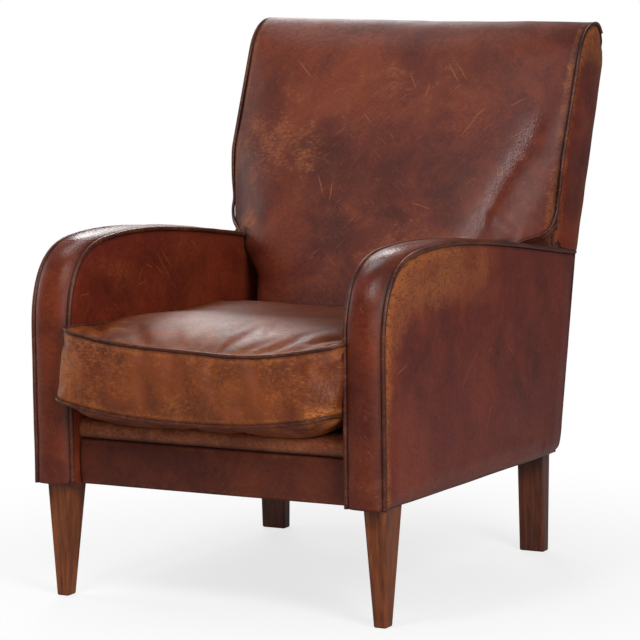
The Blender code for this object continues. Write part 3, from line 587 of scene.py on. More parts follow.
def wood(name, dark, light, roughness, grain_axis):
    """Straight-grained wood, stained and rubbed."""
    paint = Paint(name)
    fibre = [0.0105, 0.0105, 0.0105]
    fibre[grain_axis] = 0.143
    streaks = paint.noise(1.0, 4.0, 0.6, 0.4, paint.stretched(fibre))
    clouds = paint.noise(9.0, 3.0)
    pores = paint.noise(1.0, 2.0, 0.5, 0.0, paint.stretched([part / 4.5 for part in fibre]))
    share = paint.plus(paint.times(streaks, 0.75), paint.times(clouds, 0.45))
    colour = paint.mix(paint.range(share, 0.42, 0.78), dark, light)
    colour = paint.mix(paint.range(pores, 0.60, 0.72, 0.0, 0.6), colour, darker(dark, 0.45))
    paint.bump(paint.minus(streaks, pores), 0.0004)
    rough = paint.range(clouds, 0.2, 0.8, roughness - 0.08, roughness + 0.1)
    return paint.finish(Base_Color=colour, Roughness=rough, Specular_IOR_Level=0.35)


def woven(name, dark, light, pitch):
    """Plain weave: two sets of crossing yarns."""
    paint = Paint(name)

    def yarns(axis):
        made = paint.new("ShaderNodeTexWave", bands_direction=axis)
        return paint.fill(made, Vector=paint.place, Scale=0.314 / pitch, Distortion=0.6).outputs["Fac"]

    weave = paint.times(yarns("X"), paint.most(yarns("Y"), yarns("Z")))
    fibre = paint.noise(240.0, 3.0)
    colour = paint.mix(paint.plus(weave, paint.times(fibre, 0.3), clamp=True), dark, light)
    paint.bump(weave, 0.0006)
    return paint.finish(Base_Color=colour, Roughness=0.92)


def steel(name):
    paint = Paint(name)
    streaks = paint.noise(60.0, 4.0)
    colour = paint.mix(paint.range(streaks, 0.45, 0.7), (0.32, 0.32, 0.33), (0.20, 0.13, 0.09))
    return paint.finish(Base_Color=colour, Metallic=1.0, Roughness=paint.range(streaks, 0.2, 0.8, 0.3, 0.55))


HAIR_WIDTH = 0.0019
HAIR_DEPTH = 0.030
SCRATCH_WIDTH = 0.0013
SCRATCH_DEPTH = 0.090
SCRATCH_BEND = 0.007
STREAK_SIZES = (0.0105, 0.0105, 0.0026)
LEATHER_GLOSS = 0.26
BACK_OUT = (0.0, -math.cos(BACK_LEAN), math.sin(BACK_LEAN))


def on_back(x, z):
    return (x, BACK_FACE_LOW[0] + math.tan(BACK_LEAN) * (z - BACK_FACE_LOW[1]), z)


BACK_SCRATCHES = [(on_back(*line[:2]), on_back(*line[2:])) for line in (
    (-0.220, 0.878, -0.172, 0.838), (0.089, 0.879, 0.126, 0.834), (0.102, 0.881, 0.139, 0.841),
    (0.020, 0.858, 0.042, 0.822), (0.162, 0.777, 0.186, 0.801), (-0.121, 0.678, -0.100, 0.637),
    (-0.088, 0.671, -0.085, 0.625), (0.175, 0.790, 0.144, 0.744), (0.073, 0.633, 0.127, 0.622),
    (-0.059, 0.789, -0.034, 0.763), (0.063, 0.841, 0.062, 0.812), (0.235, 0.747, 0.268, 0.768),
    (0.256, 0.820, 0.224, 0.799), (-0.221, 0.735, -0.193, 0.742))]
RIGHT_ARM_SCRATCHES = [((-INNER_FACE, *line[:2]), (-INNER_FACE, *line[2:])) for line in (
    (0.277, 0.577, 0.340, 0.502), (0.299, 0.573, 0.337, 0.531), (0.241, 0.552, 0.219, 0.515),
    (0.255, 0.520, 0.216, 0.512), (0.276, 0.545, 0.310, 0.522), (0.241, 0.552, 0.276, 0.537),
    (0.029, 0.517, 0.066, 0.519), (0.403, 0.575, 0.430, 0.559))]
LEFT_ARM_SCRATCHES = [((OUTER_FACE, *line[:2]), (OUTER_FACE, *line[2:])) for line in (
    (0.349, 0.428, 0.271, 0.354), (0.455, 0.417, 0.488, 0.387), (0.395, 0.419, 0.382, 0.407),
    (0.087, 0.430, 0.033, 0.416), (0.395, 0.330, 0.372, 0.262))]

# Colours of the leather: dark, middle, light and worn through
BACK_COLOURS = ((0.028, 0.0060, 0.0040), (0.100, 0.0155, 0.0080),
                (0.185, 0.0345, 0.0125), (0.36, 0.115, 0.042))
ARM_COLOURS = ((0.036, 0.0060, 0.0040), (0.130, 0.0165, 0.0090),
               (0.200, 0.0310, 0.0115), (0.34, 0.098, 0.027))
SEAT_COLOURS = ((0.036, 0.009, 0.004), (0.132, 0.026, 0.008), (0.200, 0.044, 0.011), (0.42, 0.122, 0.027))
PIPING_COLOURS = ((0.020, 0.005, 0.004), (0.050, 0.010, 0.006), (0.085, 0.019, 0.009), (0.24, 0.080, 0.030))
SIDEWAYS = (1.0, 0.0, 0.0)
BACK_LEATHER = leather("back_leather", BACK_COLOURS, 0.49, 0.50, 0.52, BACK_OUT, BACK_SCRATCHES)
ARM_LEATHER = leather("arm_leather", ARM_COLOURS, 0.38, 0.50, 0.50, SIDEWAYS,
                      RIGHT_ARM_SCRATCHES + LEFT_ARM_SCRATCHES)
SEAT_LEATHER = leather("seat_leather", SEAT_COLOURS, 0.49, 0.30, 0.62, (0.0, -1.0, 0.0))
PIPING_LEATHER = leather("piping_leather", PIPING_COLOURS, 0.38, 0.2, 0.5, SIDEWAYS)
LEG_WOOD = wood("stained_beech", (0.088, 0.018, 0.005), (0.235, 0.062, 0.014), 0.42, 2)
REAR_LEG_WOOD = wood("stained_beech_dark", (0.054, 0.014, 0.008), (0.155, 0.042, 0.018), 0.38, 2)
FRAME_WOOD = wood("raw_beech", (0.42, 0.27, 0.14), (0.62, 0.45, 0.27), 0.72, 0)
SPRING_STEEL = steel("spring_steel")
JUTE = woven("jute", (0.22, 0.15, 0.08), (0.48, 0.36, 0.21), 0.003)
BLACK_CLOTH = woven("black_cloth", (0.008, 0.008, 0.009), (0.030, 0.030, 0.032), 0.0011)


# Dark band beside a seam: partly the sewn joint, partly painted shade cast by the piping.
def seam_mark(away):
    return glow(away, 0.0048)


def spot(points, centre, reach):
    """A soft round patch: 1 at its centre, fading over reach, which may differ by axis."""
    return np.exp(-np.sum(((points - np.array(centre)) / np.array(reach)) ** 2, axis=-1))


def add_spots(wear, points, spots):
    """The wear with soft patches added, each given by its share, centre and reach."""
    for share, centre, reach in spots:
        wear = wear + share * spot(points, centre, reach)
    return wear


def make_arm_band(side, word):
    line = resample(PROFILE, MESH_STEP)
    shares = np.linspace(0.0, 1.0, 19)
    x = lerp(INNER_FACE + BAND_INSET, OUTER_FACE - BAND_INSET, shares)
    edge_away = np.minimum(x - INNER_FACE, OUTER_FACE - x)
    crown = lerp(BAND_CROWN, TOP_CROWN, smooth((line[:, :1] - 0.04) / 0.16))
    dip = SEAM_DIP * glow(edge_away - BAND_INSET, SEAM_REACH / 2)
    lift = crown * (1 - np.abs(2 * shares - 1) ** 2.4) - dip
    points = upright(line[:, None] - inward(line)[:, None] * lift[..., None])
    points[..., 0] = side * x[None, :]
    points = pushed(points, (0, -1, 1), 0.0009 * ripple(points, 0.045, 2 + side))
    away = np.broadcast_to(edge_away, points.shape[:2])
    wear = add_spots(0.02 + 0.22 * glow(away - 0.004, 0.005), points, (
        (0.40, (side * 0.296, 0.03, 0.22), (0.08, 0.05, 0.04)),
        (0.25, (side * 0.296, 0.62, 0.56), (0.05, 0.09, 0.05))))
    middles = face_middles(points)
    inside_back = (np.abs(middles[..., 0]) < POST_INNER) & (middles[..., 1] > 0.690)
    polish = glow(shares - 0.5, 0.30)[None, :] * (1 - smooth((points[..., 1] - 0.10) / 0.25))
    piece = add_sheet("arm_top_" + word, points, (0, -1, 1), wear, seam_mark(away - BAND_INSET), BACK_LEATHER,
                      ["arm_band_" + word, "arm_padding_" + word], ~inside_back, polish)


def panel_patch(depth, rear_line, bottom_z):
    """Points (y, z) of an arm panel inside the arm's outline."""
    top = offset(PROFILE, depth)
    front = top[PROFILE[:, 1] <= ARM_FRONT_TOP_Z]
    top = top[len(front) - 1:]
    top = top[top[:, 0] < rear_line[-1, 0]]
    top = np.vstack((top, rear_line[-1]))
    columns = int((top[-1, 0] - top[0, 0] + 0.12) / MESH_STEP)
    rows = int(0.40 / MESH_STEP)
    low = np.array(((depth, bottom_z(depth)), rear_line[0]))
    front = np.vstack((low[:1], front[1:]))
    return coons(count_points(low, columns), count_points(top, columns),
                 count_points(front, rows), count_points(rear_line, rows))


def make_outer_panel(side, word):
    heights = np.array((underside(BODY_DEPTH), ARM_REAR_Z - 0.002))
    rear = np.stack((rear_edge(heights) - 0.0005, heights), axis=1)
    flat = panel_patch(SEAM_INSET, rear, underside)
    away = distance_to(flat, PROFILE[::2])
    outline_low = np.array(((0.0, underside(0.0)), (BODY_DEPTH, underside(BODY_DEPTH))))
    low_away = distance_to(flat, outline_low)
    rear_away = distance_to(flat, rear)
    points = upright(flat)
    bulge = 0.0030 * smooth(away / 0.05) * smooth(low_away / 0.03) * smooth(rear_away / 0.04)
    dip = SEAM_DIP * glow(away - SEAM_INSET, SEAM_REACH)
    corner_away = np.hypot(low_away, rear_away)
    turn_under = 0.007 * glow(low_away, 0.008) + 0.003 * glow(corner_away, 0.022)
    points[..., 0] = side * (OUTER_FACE + bulge - dip - turn_under)
    points[..., 0] += side * 0.0016 * ripple(points, 0.11, 5 + side) * smooth(away / 0.02)
    low_fold = ((side * OUTER_FACE, 0.10, 0.215), (side * OUTER_FACE, 0.60, 0.212))
    points = crease(points, (side, 0, 0), *low_fold, 0.0010, 0.008)
    forward = 1 - smooth((points[..., 1] - 0.16) / 0.30)
    front_wear = glow(away - 0.006, 0.017) * forward
    wear = add_spots(0.02 + 0.75 * front_wear, points, (
        (0.80, (side * OUTER_FACE, 0.190, 0.550), (0.1, 0.230, 0.050)),
        (0.45, (side * OUTER_FACE, 0.035, 0.47), (0.1, 0.050, 0.080)),
        (0.5, (side * OUTER_FACE, 0.005, 0.19), (0.1, 0.035, 0.030))))
    wear = wear + 0.22 * glow(low_away, 0.012) + 0.2 * glow(rear_away, 0.010)
    add_sheet("arm_outside_" + word, points, (side, 0, 0), wear, seam_mark(away - SEAM_INSET), ARM_LEATHER,
              ["arm_outer_panel_" + word])


def make_inner_panel(side, word):
    heights = np.linspace(underside(BODY_DEPTH), arm_top(0.70), 12)
    rear = np.stack((post_front(heights) - 0.004, heights), axis=1)
    rear[-1] = (rear[-1, 0], arm_top(rear[-1, 0]) - SEAM_INSET)
    flat = panel_patch(SEAM_INSET, rear, underside)
    away = distance_to(flat, PROFILE[::2])
    points = upright(flat)
    bulge = 0.0022 * smooth(away / 0.04)
    dip = SEAM_DIP * glow(away - SEAM_INSET, SEAM_REACH)
    points[..., 0] = side * (INNER_FACE - bulge + dip)
    points[..., 0] -= side * 0.0010 * ripple(points, 0.07, 9 + side) * smooth(away / 0.02)
    wear = add_spots(0.08, points, ((0.20, (side * INNER_FACE, 0.12, 0.55), (0.1, 0.12, 0.06)),
                                    (0.2, (side * INNER_FACE, 0.0, 0.25), (0.1, 0.05, 0.08))))
    # Dark seam lines, and painted shade that deepens towards the panel's rear end, where it meets the back.
    seam = np.maximum(seam_mark(away - SEAM_INSET), 0.75 * smooth((points[..., 1] - 0.585) / 0.06))
    middles = face_middles(points)
    keep = (middles[..., 2] > RAIL_TOP_Z) | (middles[..., 1] < RAIL_COVER_Y + 0.002)
    add_sheet("arm_inside_" + word, points, (-side, 0, 0), wear, seam, ARM_LEATHER,
              ["arm_inner_panel_" + word], keep)


def make_arm_pipings(side, word):
    for label, x in (("outer", OUTER_FACE - PIPING_INSET), ("inner", INNER_FACE + PIPING_INSET)):
        line = resample(offset(PROFILE, PIPING_INSET), PIPING_STEP)
        if label == "inner":
            line = line[line[:, 0] < 0.640]
        route = np.column_stack((np.full(len(line), side * x), line))
        route[0, 2] = UNDER_FRONT_Z - 0.0005
        route[:, 0] += 0.0005 * ripple(route, 0.05, 4)
        ending = label + "_" + word
        add_cord("arm_cord_" + ending, route, ARM_PIPING_RADIUS, "arm_piping_" + ending)


def back_rows():
    """Rows (y, z, pillow depth) of the back's front face and its rolled top."""
    low_z = np.arange(BACK_FOOT_Z, EAR_Z, MESH_STEP)
    low_y = lerp(BACK_SIDE_Y, BACK_SIDE_ARM_Y, smooth((low_z - 0.54) / (EAR_Z - 0.54)))
    low = np.stack((low_y, low_z), axis=1)
    upper = bezier((BACK_SIDE_ARM_Y, EAR_Z), (BACK_SIDE_ARM_Y + 0.004, EAR_Z + 0.05),
                   (BACK_SIDE_MIDDLE[0] - 0.008, BACK_SIDE_MIDDLE[1] - 0.05), BACK_SIDE_MIDDLE, 26)
    straight = np.linspace(BACK_SIDE_MIDDLE, BACK_SIDE_TOP, 38)
    face = np.vstack((low, upper, straight[1:]))
    slope = (BACK_FACE_TOP_Y - BACK_FACE_LOW[0]) / (BACK_SIDE_TOP[1] - BACK_FACE_LOW[1])
    middle = BACK_FACE_LOW[0] + slope * np.maximum(face[:, 1] - BACK_FACE_LOW[1], 0.0)
    face = np.column_stack((face, face[:, 0] - middle))
    roll = bezier(BACK_SIDE_TOP, (BACK_SIDE_TOP[0] + 0.026, BACK_TOP_Z + 0.014),
                  (BACK_TOP_REAR[0] - 0.004, BACK_TOP_Z + 0.020), BACK_TOP_REAR, 32)
    depth = face[-1, 2] * (1 - np.linspace(0.0, 1.0, 33)) ** 2
    return np.vstack((face, np.column_stack((roll, depth))[1:]))


BACK_ROWS = back_rows()


def ear_narrowing(z):
    """How much narrower the back is near the arms than at its top."""
    return EAR_NARROWING * smooth((0.720 - z) / 0.120)


def back_surface(x, rows):
    """Points of the back's face, a pillow full in the middle, for columns x and rows."""
    y, z, depth = (rows[:, None, axis] for axis in range(3))
    half = lerp(SEAT_HALF, COVER_HALF, smooth((z - 0.48) / (EAR_Z - 0.48)))
    fullness = 1 - np.minimum(np.abs(x)[None, :] / half, 1.0) ** 5
    narrowing = ear_narrowing(z) / COVER_HALF * smooth((z - 0.545) / 0.020)
    return np.stack(np.broadcast_arrays(x[None, :] * (1 - narrowing), y - depth * fullness, z), axis=-1)


def ear_edge(x):
    """Height of the back cover's lower edge where it lies on the arm."""
    return np.interp(np.abs(x) - 0.0035, EAR_TURN_X, EAR_TURN_Z) - 0.002


def rear_rounding(y):
    """How far the back's top rear corner is rounded inwards at y."""
    return REAR_ROUNDING * smooth((y - BACK_TOP_REAR[0]) / 0.045 + 1)


def near_top(z):
    return smooth((z - ROUNDED_FROM_Z) / 0.04)


def polish_band(points):
    """The diagonal ridge low on the back's left that arms and shoulders have polished."""
    flat = points * (1, 0, 1)
    return glow(distance_to(flat, np.array(((0.198, 0.0, 0.555), (0.282, 0.0, 0.760)))), 0.030)


def make_back_cover():
    ear = np.linspace(SEAT_HALF, COVER_HALF, 15)
    inner = np.linspace(-SEAT_HALF, SEAT_HALF, 101)
    lip = np.array((COVER_HALF + 0.0008,))
    x = np.concatenate((-lip, -ear[::-1], inner[1:-1], ear, lip))
    points = back_surface(x, BACK_ROWS)
    points[:, (0, -1), 1] += 0.010 * smooth((0.880 - BACK_ROWS[:, 1:2]) / 0.030)
    on_ear = np.broadcast_to(np.abs(x) > SEAT_HALF + 0.0001, points.shape[:2])
    below = np.clip(ear_edge(points[..., 0]) - points[..., 2], 0.0, None) * on_ear
    points[..., 1] += EAR_RECESS * smooth(below / 0.008) + EAR_SLOPE * below
    edge_away = np.broadcast_to(COVER_HALF - np.abs(x), points.shape[:2])
    above = points[..., 2] > EAR_Z - 0.02
    points[..., 0] -= np.sign(points[..., 0]) * rear_rounding(points[..., 1]) * glow(edge_away, 0.020)
    points[..., 1] += 0.0030 * glow(edge_away, SEAM_REACH) * above
    for side in (1, -1):
        for start, end, depth, width in EAR_FOLDS:
            points = crease(points, (0, -1, 0.2), *(np.array((start, end)) * (side, 1, 1)), depth, width)
    points = crease(points, (0, -1, 0.2), (-0.12, 0.50, 0.47), (0.16, 0.50, 0.475), 0.0020, 0.012)
    outward = (0, -1, 0.3)
    points = pushed(points, outward, 0.0022 * ripple(points, 0.16, 21))
    points = pushed(points, outward, 0.0008 * ripple(points, 0.05, 22))
    polish = polish_band(points)
    points = pushed(points, outward, 0.0010 * polish)
    # Dark seam lines along the cover's edges, painted shade along its junction with the arms' inner walls,
    # and painted shade over the recessed cover below the ear edge.
    seam = seam_mark(edge_away) * above
    wall_away = np.abs(np.abs(points[..., 0]) - INNER_FACE)
    seam = np.maximum(seam, glow(wall_away, 0.012) * (points[..., 2] < 0.575))
    seam = np.maximum(seam, 0.7 * (below > 0))
    wear = add_spots(0.06, points, (
        (0.40, (-0.22, 0.66, 0.72), (0.10, 0.3, 0.10)),
        (0.25, (0.290, 0.66, 0.64), (0.035, 0.2, 0.060)),
        (0.25, (0.06, 0.66, 0.56), (0.16, 0.3, 0.06)),
        (0.55, (-0.255, 0.66, 0.590), (0.020, 0.3, 0.025)),
        (0.28, (0.02, 0.66, 0.83), (0.15, 0.3, 0.05))))
    wear = wear + 0.50 * glow(edge_away - 0.007, 0.007) * above
    middles = face_middles(points)
    dropped = (np.abs(middles[..., 0]) > SEAT_HALF) & (middles[..., 2] < arm_top(middles[..., 1]) - 0.006)
    piece = add_sheet("back_front", points, outward, wear, seam, BACK_LEATHER,
                      ["back_front_cover", "back_padding"], ~dropped, polish)


def make_back_sides():
    side_line = BACK_ROWS[BACK_ROWS[:, 1] >= EAR_Z - 0.001][:, :2]
    front = offset(side_line, SEAM_INSET)
    front = front[front[:, 0] < BACK_TOP_REAR[0] - 0.004]
    foot = (front[0, 0], arm_top(front[0, 0]) + 0.002)
    front = np.vstack((foot, front, np.array(BACK_TOP_REAR) - (0.002, 0.003)))
    front = resample(front, MESH_STEP)
    front[:, 0] -= 0.005 * smooth((0.600 - front[:, 1]) / 0.020)
    low = np.array((rear_edge(ARM_REAR_Z + 0.002), ARM_REAR_Z + 0.002))
    high_z = BACK_TOP_REAR[1] - 2 * SEAM_INSET
    high = np.array((rear_edge(high_z), high_z))
    rear = np.linspace(low, high, len(front)) - np.array((0.0005, 0.0))
    share = np.linspace(0.0, 1.0, 17)[None, :, None]
    flat = front[:, None] * (1 - share) + rear[:, None] * share
    away = distance_to(flat, front)
    rear_away = distance_to(flat, rear)
    for side, word in ((1, "left"), (-1, "right")):
        points = upright(flat)
        bulge = 0.0025 * smooth(away / 0.03) * smooth(rear_away / 0.03)
        points[..., 0] = side * (BACK_HALF - 0.0008 + bulge - SEAM_DIP * glow(away, SEAM_REACH))
        points[..., 0] += side * 0.0010 * ripple(points, 0.05, 30 + side)
        points[..., 0] -= side * rear_rounding(points[..., 1]) * near_top(points[..., 2])
        points[..., 0] -= side * ear_narrowing(points[..., 2]) * (1 - share[..., 0])
        tucked = smooth((0.602 - points[..., 2]) / 0.028)
        points[..., 0] -= side * EAR_TUCK * tucked * (1 - smooth(away / 0.05))
        wear = 0.22 + 0.35 * glow(rear_away, 0.010) + 0.35 * glow(away - 0.006, 0.006)
        wear = wear + 0.50 * smooth((points[..., 2] - 0.84) / 0.06)
        add_sheet("back_side_" + word, points, (side, 0, 0), wear, seam_mark(away), ARM_LEATHER,
                  ["back_side_band_" + word])


def make_back_pipings():
    side_line = BACK_ROWS[BACK_ROWS[:, 1] >= 0.615][:, :2]
    line = offset(side_line, PIPING_INSET)
    line = line[line[:, 0] < BACK_TOP_REAR[0] - 0.006]
    rows = np.array([BACK_ROWS[np.argmin(np.abs(BACK_ROWS[:120, 1] - z))] for z in EAR_TURN_Z])
    surface = np.array([back_surface(np.array((x,)), row[None])[0, 0] for x, row in zip(EAR_TURN_X, rows)])
    turn_y = surface[:, 1] + np.linspace(-0.0012, 0.0015, len(rows))
    upper_x = BACK_HALF - PIPING_INSET - rear_rounding(line[:, 0]) - ear_narrowing(line[:, 1])
    upper_x -= 0.002 * smooth((0.660 - line[:, 1]) / 0.040)
    route = np.vstack((np.column_stack((EAR_TURN_X, turn_y, EAR_TURN_Z)), np.column_stack((upper_x, line))))
    route = resample(route, PIPING_STEP)
    route[1:-1] = (route[:-2] + 2 * route[1:-1] + route[2:]) / 4
    for side, word in ((1, "left"), (-1, "right")):
        add_cord("back_cord_" + word, route * (side, 1, 1), BACK_PIPING_RADIUS, "back_piping_" + word)


def make_back_rear():
    x = np.linspace(-OUTER_FACE, OUTER_FACE, 91)
    z = np.linspace(underside(BODY_DEPTH), BACK_TOP_REAR[1] + 0.001, 81)
    grid_x, grid_z = np.meshgrid(x, z)
    points = np.stack((grid_x, rear_face(grid_x, grid_z), grid_z), axis=-1)
    side_away = OUTER_FACE - np.abs(points[..., 0])
    top_away = BACK_TOP_REAR[1] - points[..., 2]
    low_away = points[..., 2] - underside(BODY_DEPTH)
    inside = smooth(side_away / 0.04) * smooth(top_away / 0.04)
    points[..., 1] += (0.0030 * ripple(points, 0.15, 41) - 0.002) * inside
    pulled = 0.008 * glow(np.hypot(side_away, low_away), 0.025)
    pulled = pulled + REAR_ROUNDING * glow(side_away, 0.020) * near_top(points[..., 2])
    points[..., 0] -= np.sign(points[..., 0]) * pulled
    seam = np.maximum(seam_mark(side_away), 0.8 * seam_mark(top_away))
    wear = 0.10 + 0.25 * glow(side_away, 0.012) + 0.35 * glow(low_away, 0.015)
    add_sheet("back_outside", points, (0, 1, 0), wear, seam, BACK_LEATHER,
              ["back_rear_cover"])


def make_rail_covers():
    x = np.linspace(-SEAT_HALF, SEAT_HALF, 105)
    z = np.linspace(UNDER_FRONT_Z - 0.0004, LIP_SEAM_Z, 18)
    grid_x, grid_z = np.meshgrid(x, z)
    top_away = LIP_SEAM_Z - grid_z
    low_away = grid_z - z[0]
    side_away = SEAT_HALF - np.abs(grid_x)
    belly = 0.0032 * smooth(top_away / 0.02) * smooth(low_away / 0.02)
    points = np.stack((grid_x, RAIL_COVER_Y - belly + 0.002 * glow(top_away, 0.004), grid_z), axis=-1)
    points[..., 1] += 0.0007 * ripple(points, 0.05, 51)
    # Dark seam line at the top, painted shade near the arms, and an even painted shade over the whole rail,
    # which lies under the cushion.
    seam = np.maximum(np.maximum(seam_mark(top_away), 0.8 * glow(side_away, 0.008)), 0.38)
    wear = 0.10 + 0.25 * glow(low_away, 0.008) + 0.2 * glow(top_away - 0.006, 0.006)
    add_sheet("rail_front", points, (0, -1, 0), wear, seam, BACK_LEATHER,
              ["front_rail_cover"])

    lip = bezier((RAIL_COVER_Y - 0.001, LIP_SEAM_Z + 0.0004), (RAIL_COVER_Y - 0.011, DECK_TOP_Z - 0.010),
                 (RAIL_COVER_Y - 0.002, DECK_TOP_Z), (LIP_REAR_Y, DECK_TOP_Z), 18)
    points = np.zeros((len(lip), len(x), 3))
    points[..., 0] = x[None, :]
    points[..., 1:] = lip[:, None]
    points[..., 1] += 0.0008 * ripple(points, 0.045, 53)
    away = np.linalg.norm(points[..., 1:] - lip[0], axis=-1)
    wear = np.full(points.shape[:2], 0.62)
    piece = add_sheet("rail_lip", points, (0, -1, 1), wear, seam_mark(away), BACK_LEATHER,
                      ["front_lip_cover", "front_lip_pad"])


def slanting_grid(low, high, columns, rows):
    """Points over a box, from its low front edge to its high rear edge."""
    u, v = np.meshgrid(np.linspace(0.0, 1.0, columns), np.linspace(0.0, 1.0, rows))
    y = lerp(low.y, high.y, v) - FRONT_Y
    return np.stack((lerp(low.x, high.x, u), y, lerp(low.z, high.z, v)), axis=-1)


def make_hidden_cloths():
    """Deck cover, spring cloth, webbing and dust cloth, each stretched over the frame."""
    flats = (("deck_top", "deck_cover", BLACK_CLOTH, "black_cloth", ["deck_cover", "seat_pad"], 0.001,
              "seat_pad"),
             ("spring_cover", "spring_cloth", JUTE, "jute", ["spring_cloth"], 0.001, "seat_spring_1"),
             ("underside_cloth", "dust_cloth", BLACK_CLOTH, "black_cloth", ["dust_cloth"], 0.0008,
              "front_rail"))
    hollow = np.sin(math.pi * np.linspace(0.0, 1.0, 41))
    for name, node, finish, slot, nodes, thickness, carrier in flats:
        low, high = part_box(node)
        points = slanting_grid(low, high, len(hollow), len(hollow))
        points[..., 2] = high.z
        facing = (0, 0, 1)
        if node == "dust_cloth":
            points[..., 2] = underside(points[..., 1]) + 0.001
            points[..., 2] -= 0.0035 * hollow[None, :] * hollow[:, None]
            facing = (0, 0, -1)
        blank = np.zeros(points.shape[:2])
        piece = add_sheet(name, points, facing, blank, blank, finish, nodes, thickness=thickness)
    for number in (1, 2, 3):
        node = "back_webbing_%d" % number
        low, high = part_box(node)
        points = slanting_grid(low, high, 33, 9)
        blank = np.zeros(points.shape[:2])
        piece = add_sheet("strap_%d" % number, points, (0, -1, 0), blank, blank, JUTE, [node],
                          thickness=STRAP_THICKNESS)


# The cushion

def cushion_top_seam(u, v):
    front = 0.4460 - 0.005 * glow(u - 0.35, 0.35) + 0.0235 * np.abs(u) ** 2.6
    rear = 0.4480 + 0.004 * u * u
    return lerp(front, rear, smooth((v + 1) / 1.2))


def cushion_bottom_seam(u, v):
    front = 0.3255 + 0.0265 * np.abs(u) ** 2.4
    rear = 0.3300 + 0.004 * u * u
    return lerp(front, rear, smooth((v + 1) / 1.2))


def cushion_plan(u, v, level):
    """Place (x, y) of a point of the cushion at a level from 0, the bottom seam, to 1, the top one."""
    front = lerp(CUSHION_FRONT_BOTTOM_Y, CUSHION_FRONT_TOP_Y, level)
    half_x = INNER_FACE - CUSHION_CLEARANCE
    half_y = (CUSHION_REAR_Y - front) / 2
    share = np.maximum(np.maximum(np.abs(u), np.abs(v)), 1e-6)
    x, y = u / share * half_x, v / share * half_y
    core_x = np.clip(x, CUSHION_CORNER - half_x, half_x - CUSHION_CORNER)
    core_y = np.clip(y, CUSHION_CORNER - half_y, half_y - CUSHION_CORNER)
    length = np.maximum(np.hypot(x - core_x, y - core_y), 1e-9)
    x = core_x + CUSHION_CORNER * (x - core_x) / length
    y = core_y + CUSHION_CORNER * (y - core_y) / length
    x = x * share
    y = y * share + (CUSHION_REAR_Y + front) / 2
    forward = smooth((0.012 - y) / 0.035)
    x = x * (1 + lerp(0.016, 0.050, level) * forward) - CUSHION_SHIFT * (1 - level) * forward
    y = y + level * 0.012 * np.abs(u) ** 7 * forward
    return x, y


def cushion_pillow(u, v):
    return (1 - np.abs(u) ** 2.6) * (1 - np.abs(v) ** 2.6)


def cushion_lines(count):
    t = np.linspace(-1.0, 1.0, count)
    return t * (1.18 - 0.18 * t * t)


def cushion_ring(count_u, count_v):
    u_line = cushion_lines(count_u)
    v_line = cushion_lines(count_v)
    ring = [(u, -1.0) for u in u_line[:-1]] + [(1.0, v) for v in v_line[:-1]]
    ring += [(u, 1.0) for u in u_line[:0:-1]] + [(-1.0, v) for v in v_line[:0:-1]]
    return np.array(ring)


def cushion_cage():
    """Closed mesh of the cushion before it is inflated, with the vertices of its two seams."""
    count_u = int(2 * INNER_FACE / CUSHION_STEP)
    count_v = int((CUSHION_REAR_Y + 0.04) / CUSHION_STEP)
    u, v = np.meshgrid(cushion_lines(count_u), cushion_lines(count_v))
    x, y = cushion_plan(u, v, 1.0)
    sat_in = 0.013 * np.exp(-((u / 0.7) ** 2 + ((v - 0.40) / 0.50) ** 2))
    crest = 0.013 * np.exp(-((v + 0.48) / 0.36) ** 2)
    rise = (CUSHION_CROWN - 0.004 + crest - sat_in) * cushion_pillow(u, v)
    top = np.stack((x, y, cushion_top_seam(u, v) + rise), axis=-1)
    x, y = cushion_plan(u, v, 0.0)
    sag = cushion_bottom_seam(u, v) - DECK_TOP_Z - 0.002
    resting = (1 - np.abs(u) ** 8) * (1 - np.abs(v) ** 12)
    bottom = np.stack((x, y, cushion_bottom_seam(u, v) - sag * resting), axis=-1)
    cage = bmesh.new()

    def add_grid(points, flip):
        rows, columns = points.shape[:2]
        corners = [[cage.verts.new(points[row, column]) for column in range(columns)] for row in range(rows)]
        for row in range(rows - 1):
            for column in range(columns - 1):
                loop = [corners[row][column], corners[row][column + 1],
                        corners[row + 1][column + 1], corners[row + 1][column]]
                cage.faces.new(loop[::-1] if flip else loop)

    add_grid(top, False)
    add_grid(bottom, True)
    ring = cushion_ring(count_u, count_v)
    ring = np.vstack((ring, ring[:1]))
    levels = np.linspace(0.0, 1.0, 15)
    wall = []
    for level in levels:
        x, y = cushion_plan(ring[:, 0], ring[:, 1], level)
        z = lerp(cushion_bottom_seam(ring[:, 0], ring[:, 1]), cushion_top_seam(ring[:, 0], ring[:, 1]), level)
        wall.append(np.stack((x, y, z), axis=-1))
    add_grid(np.array(wall), False)
    bmesh.ops.remove_doubles(cage, verts=cage.verts, dist=0.00005)
    bmesh.ops.recalc_face_normals(cage, faces=cage.faces)
    data = bpy.data.meshes.new("cushion")
    cage.to_mesh(data)
    cage.free()
    return data


def seam_routes():
    ring = cushion_ring(90, 96)
    routes = []
    for level, seam in ((1.0, cushion_top_seam), (0.0, cushion_bottom_seam)):
        x, y = cushion_plan(ring[:, 0], ring[:, 1], level)
        routes.append(np.stack((x, y, seam(ring[:, 0], ring[:, 1])), axis=-1))
    return routes


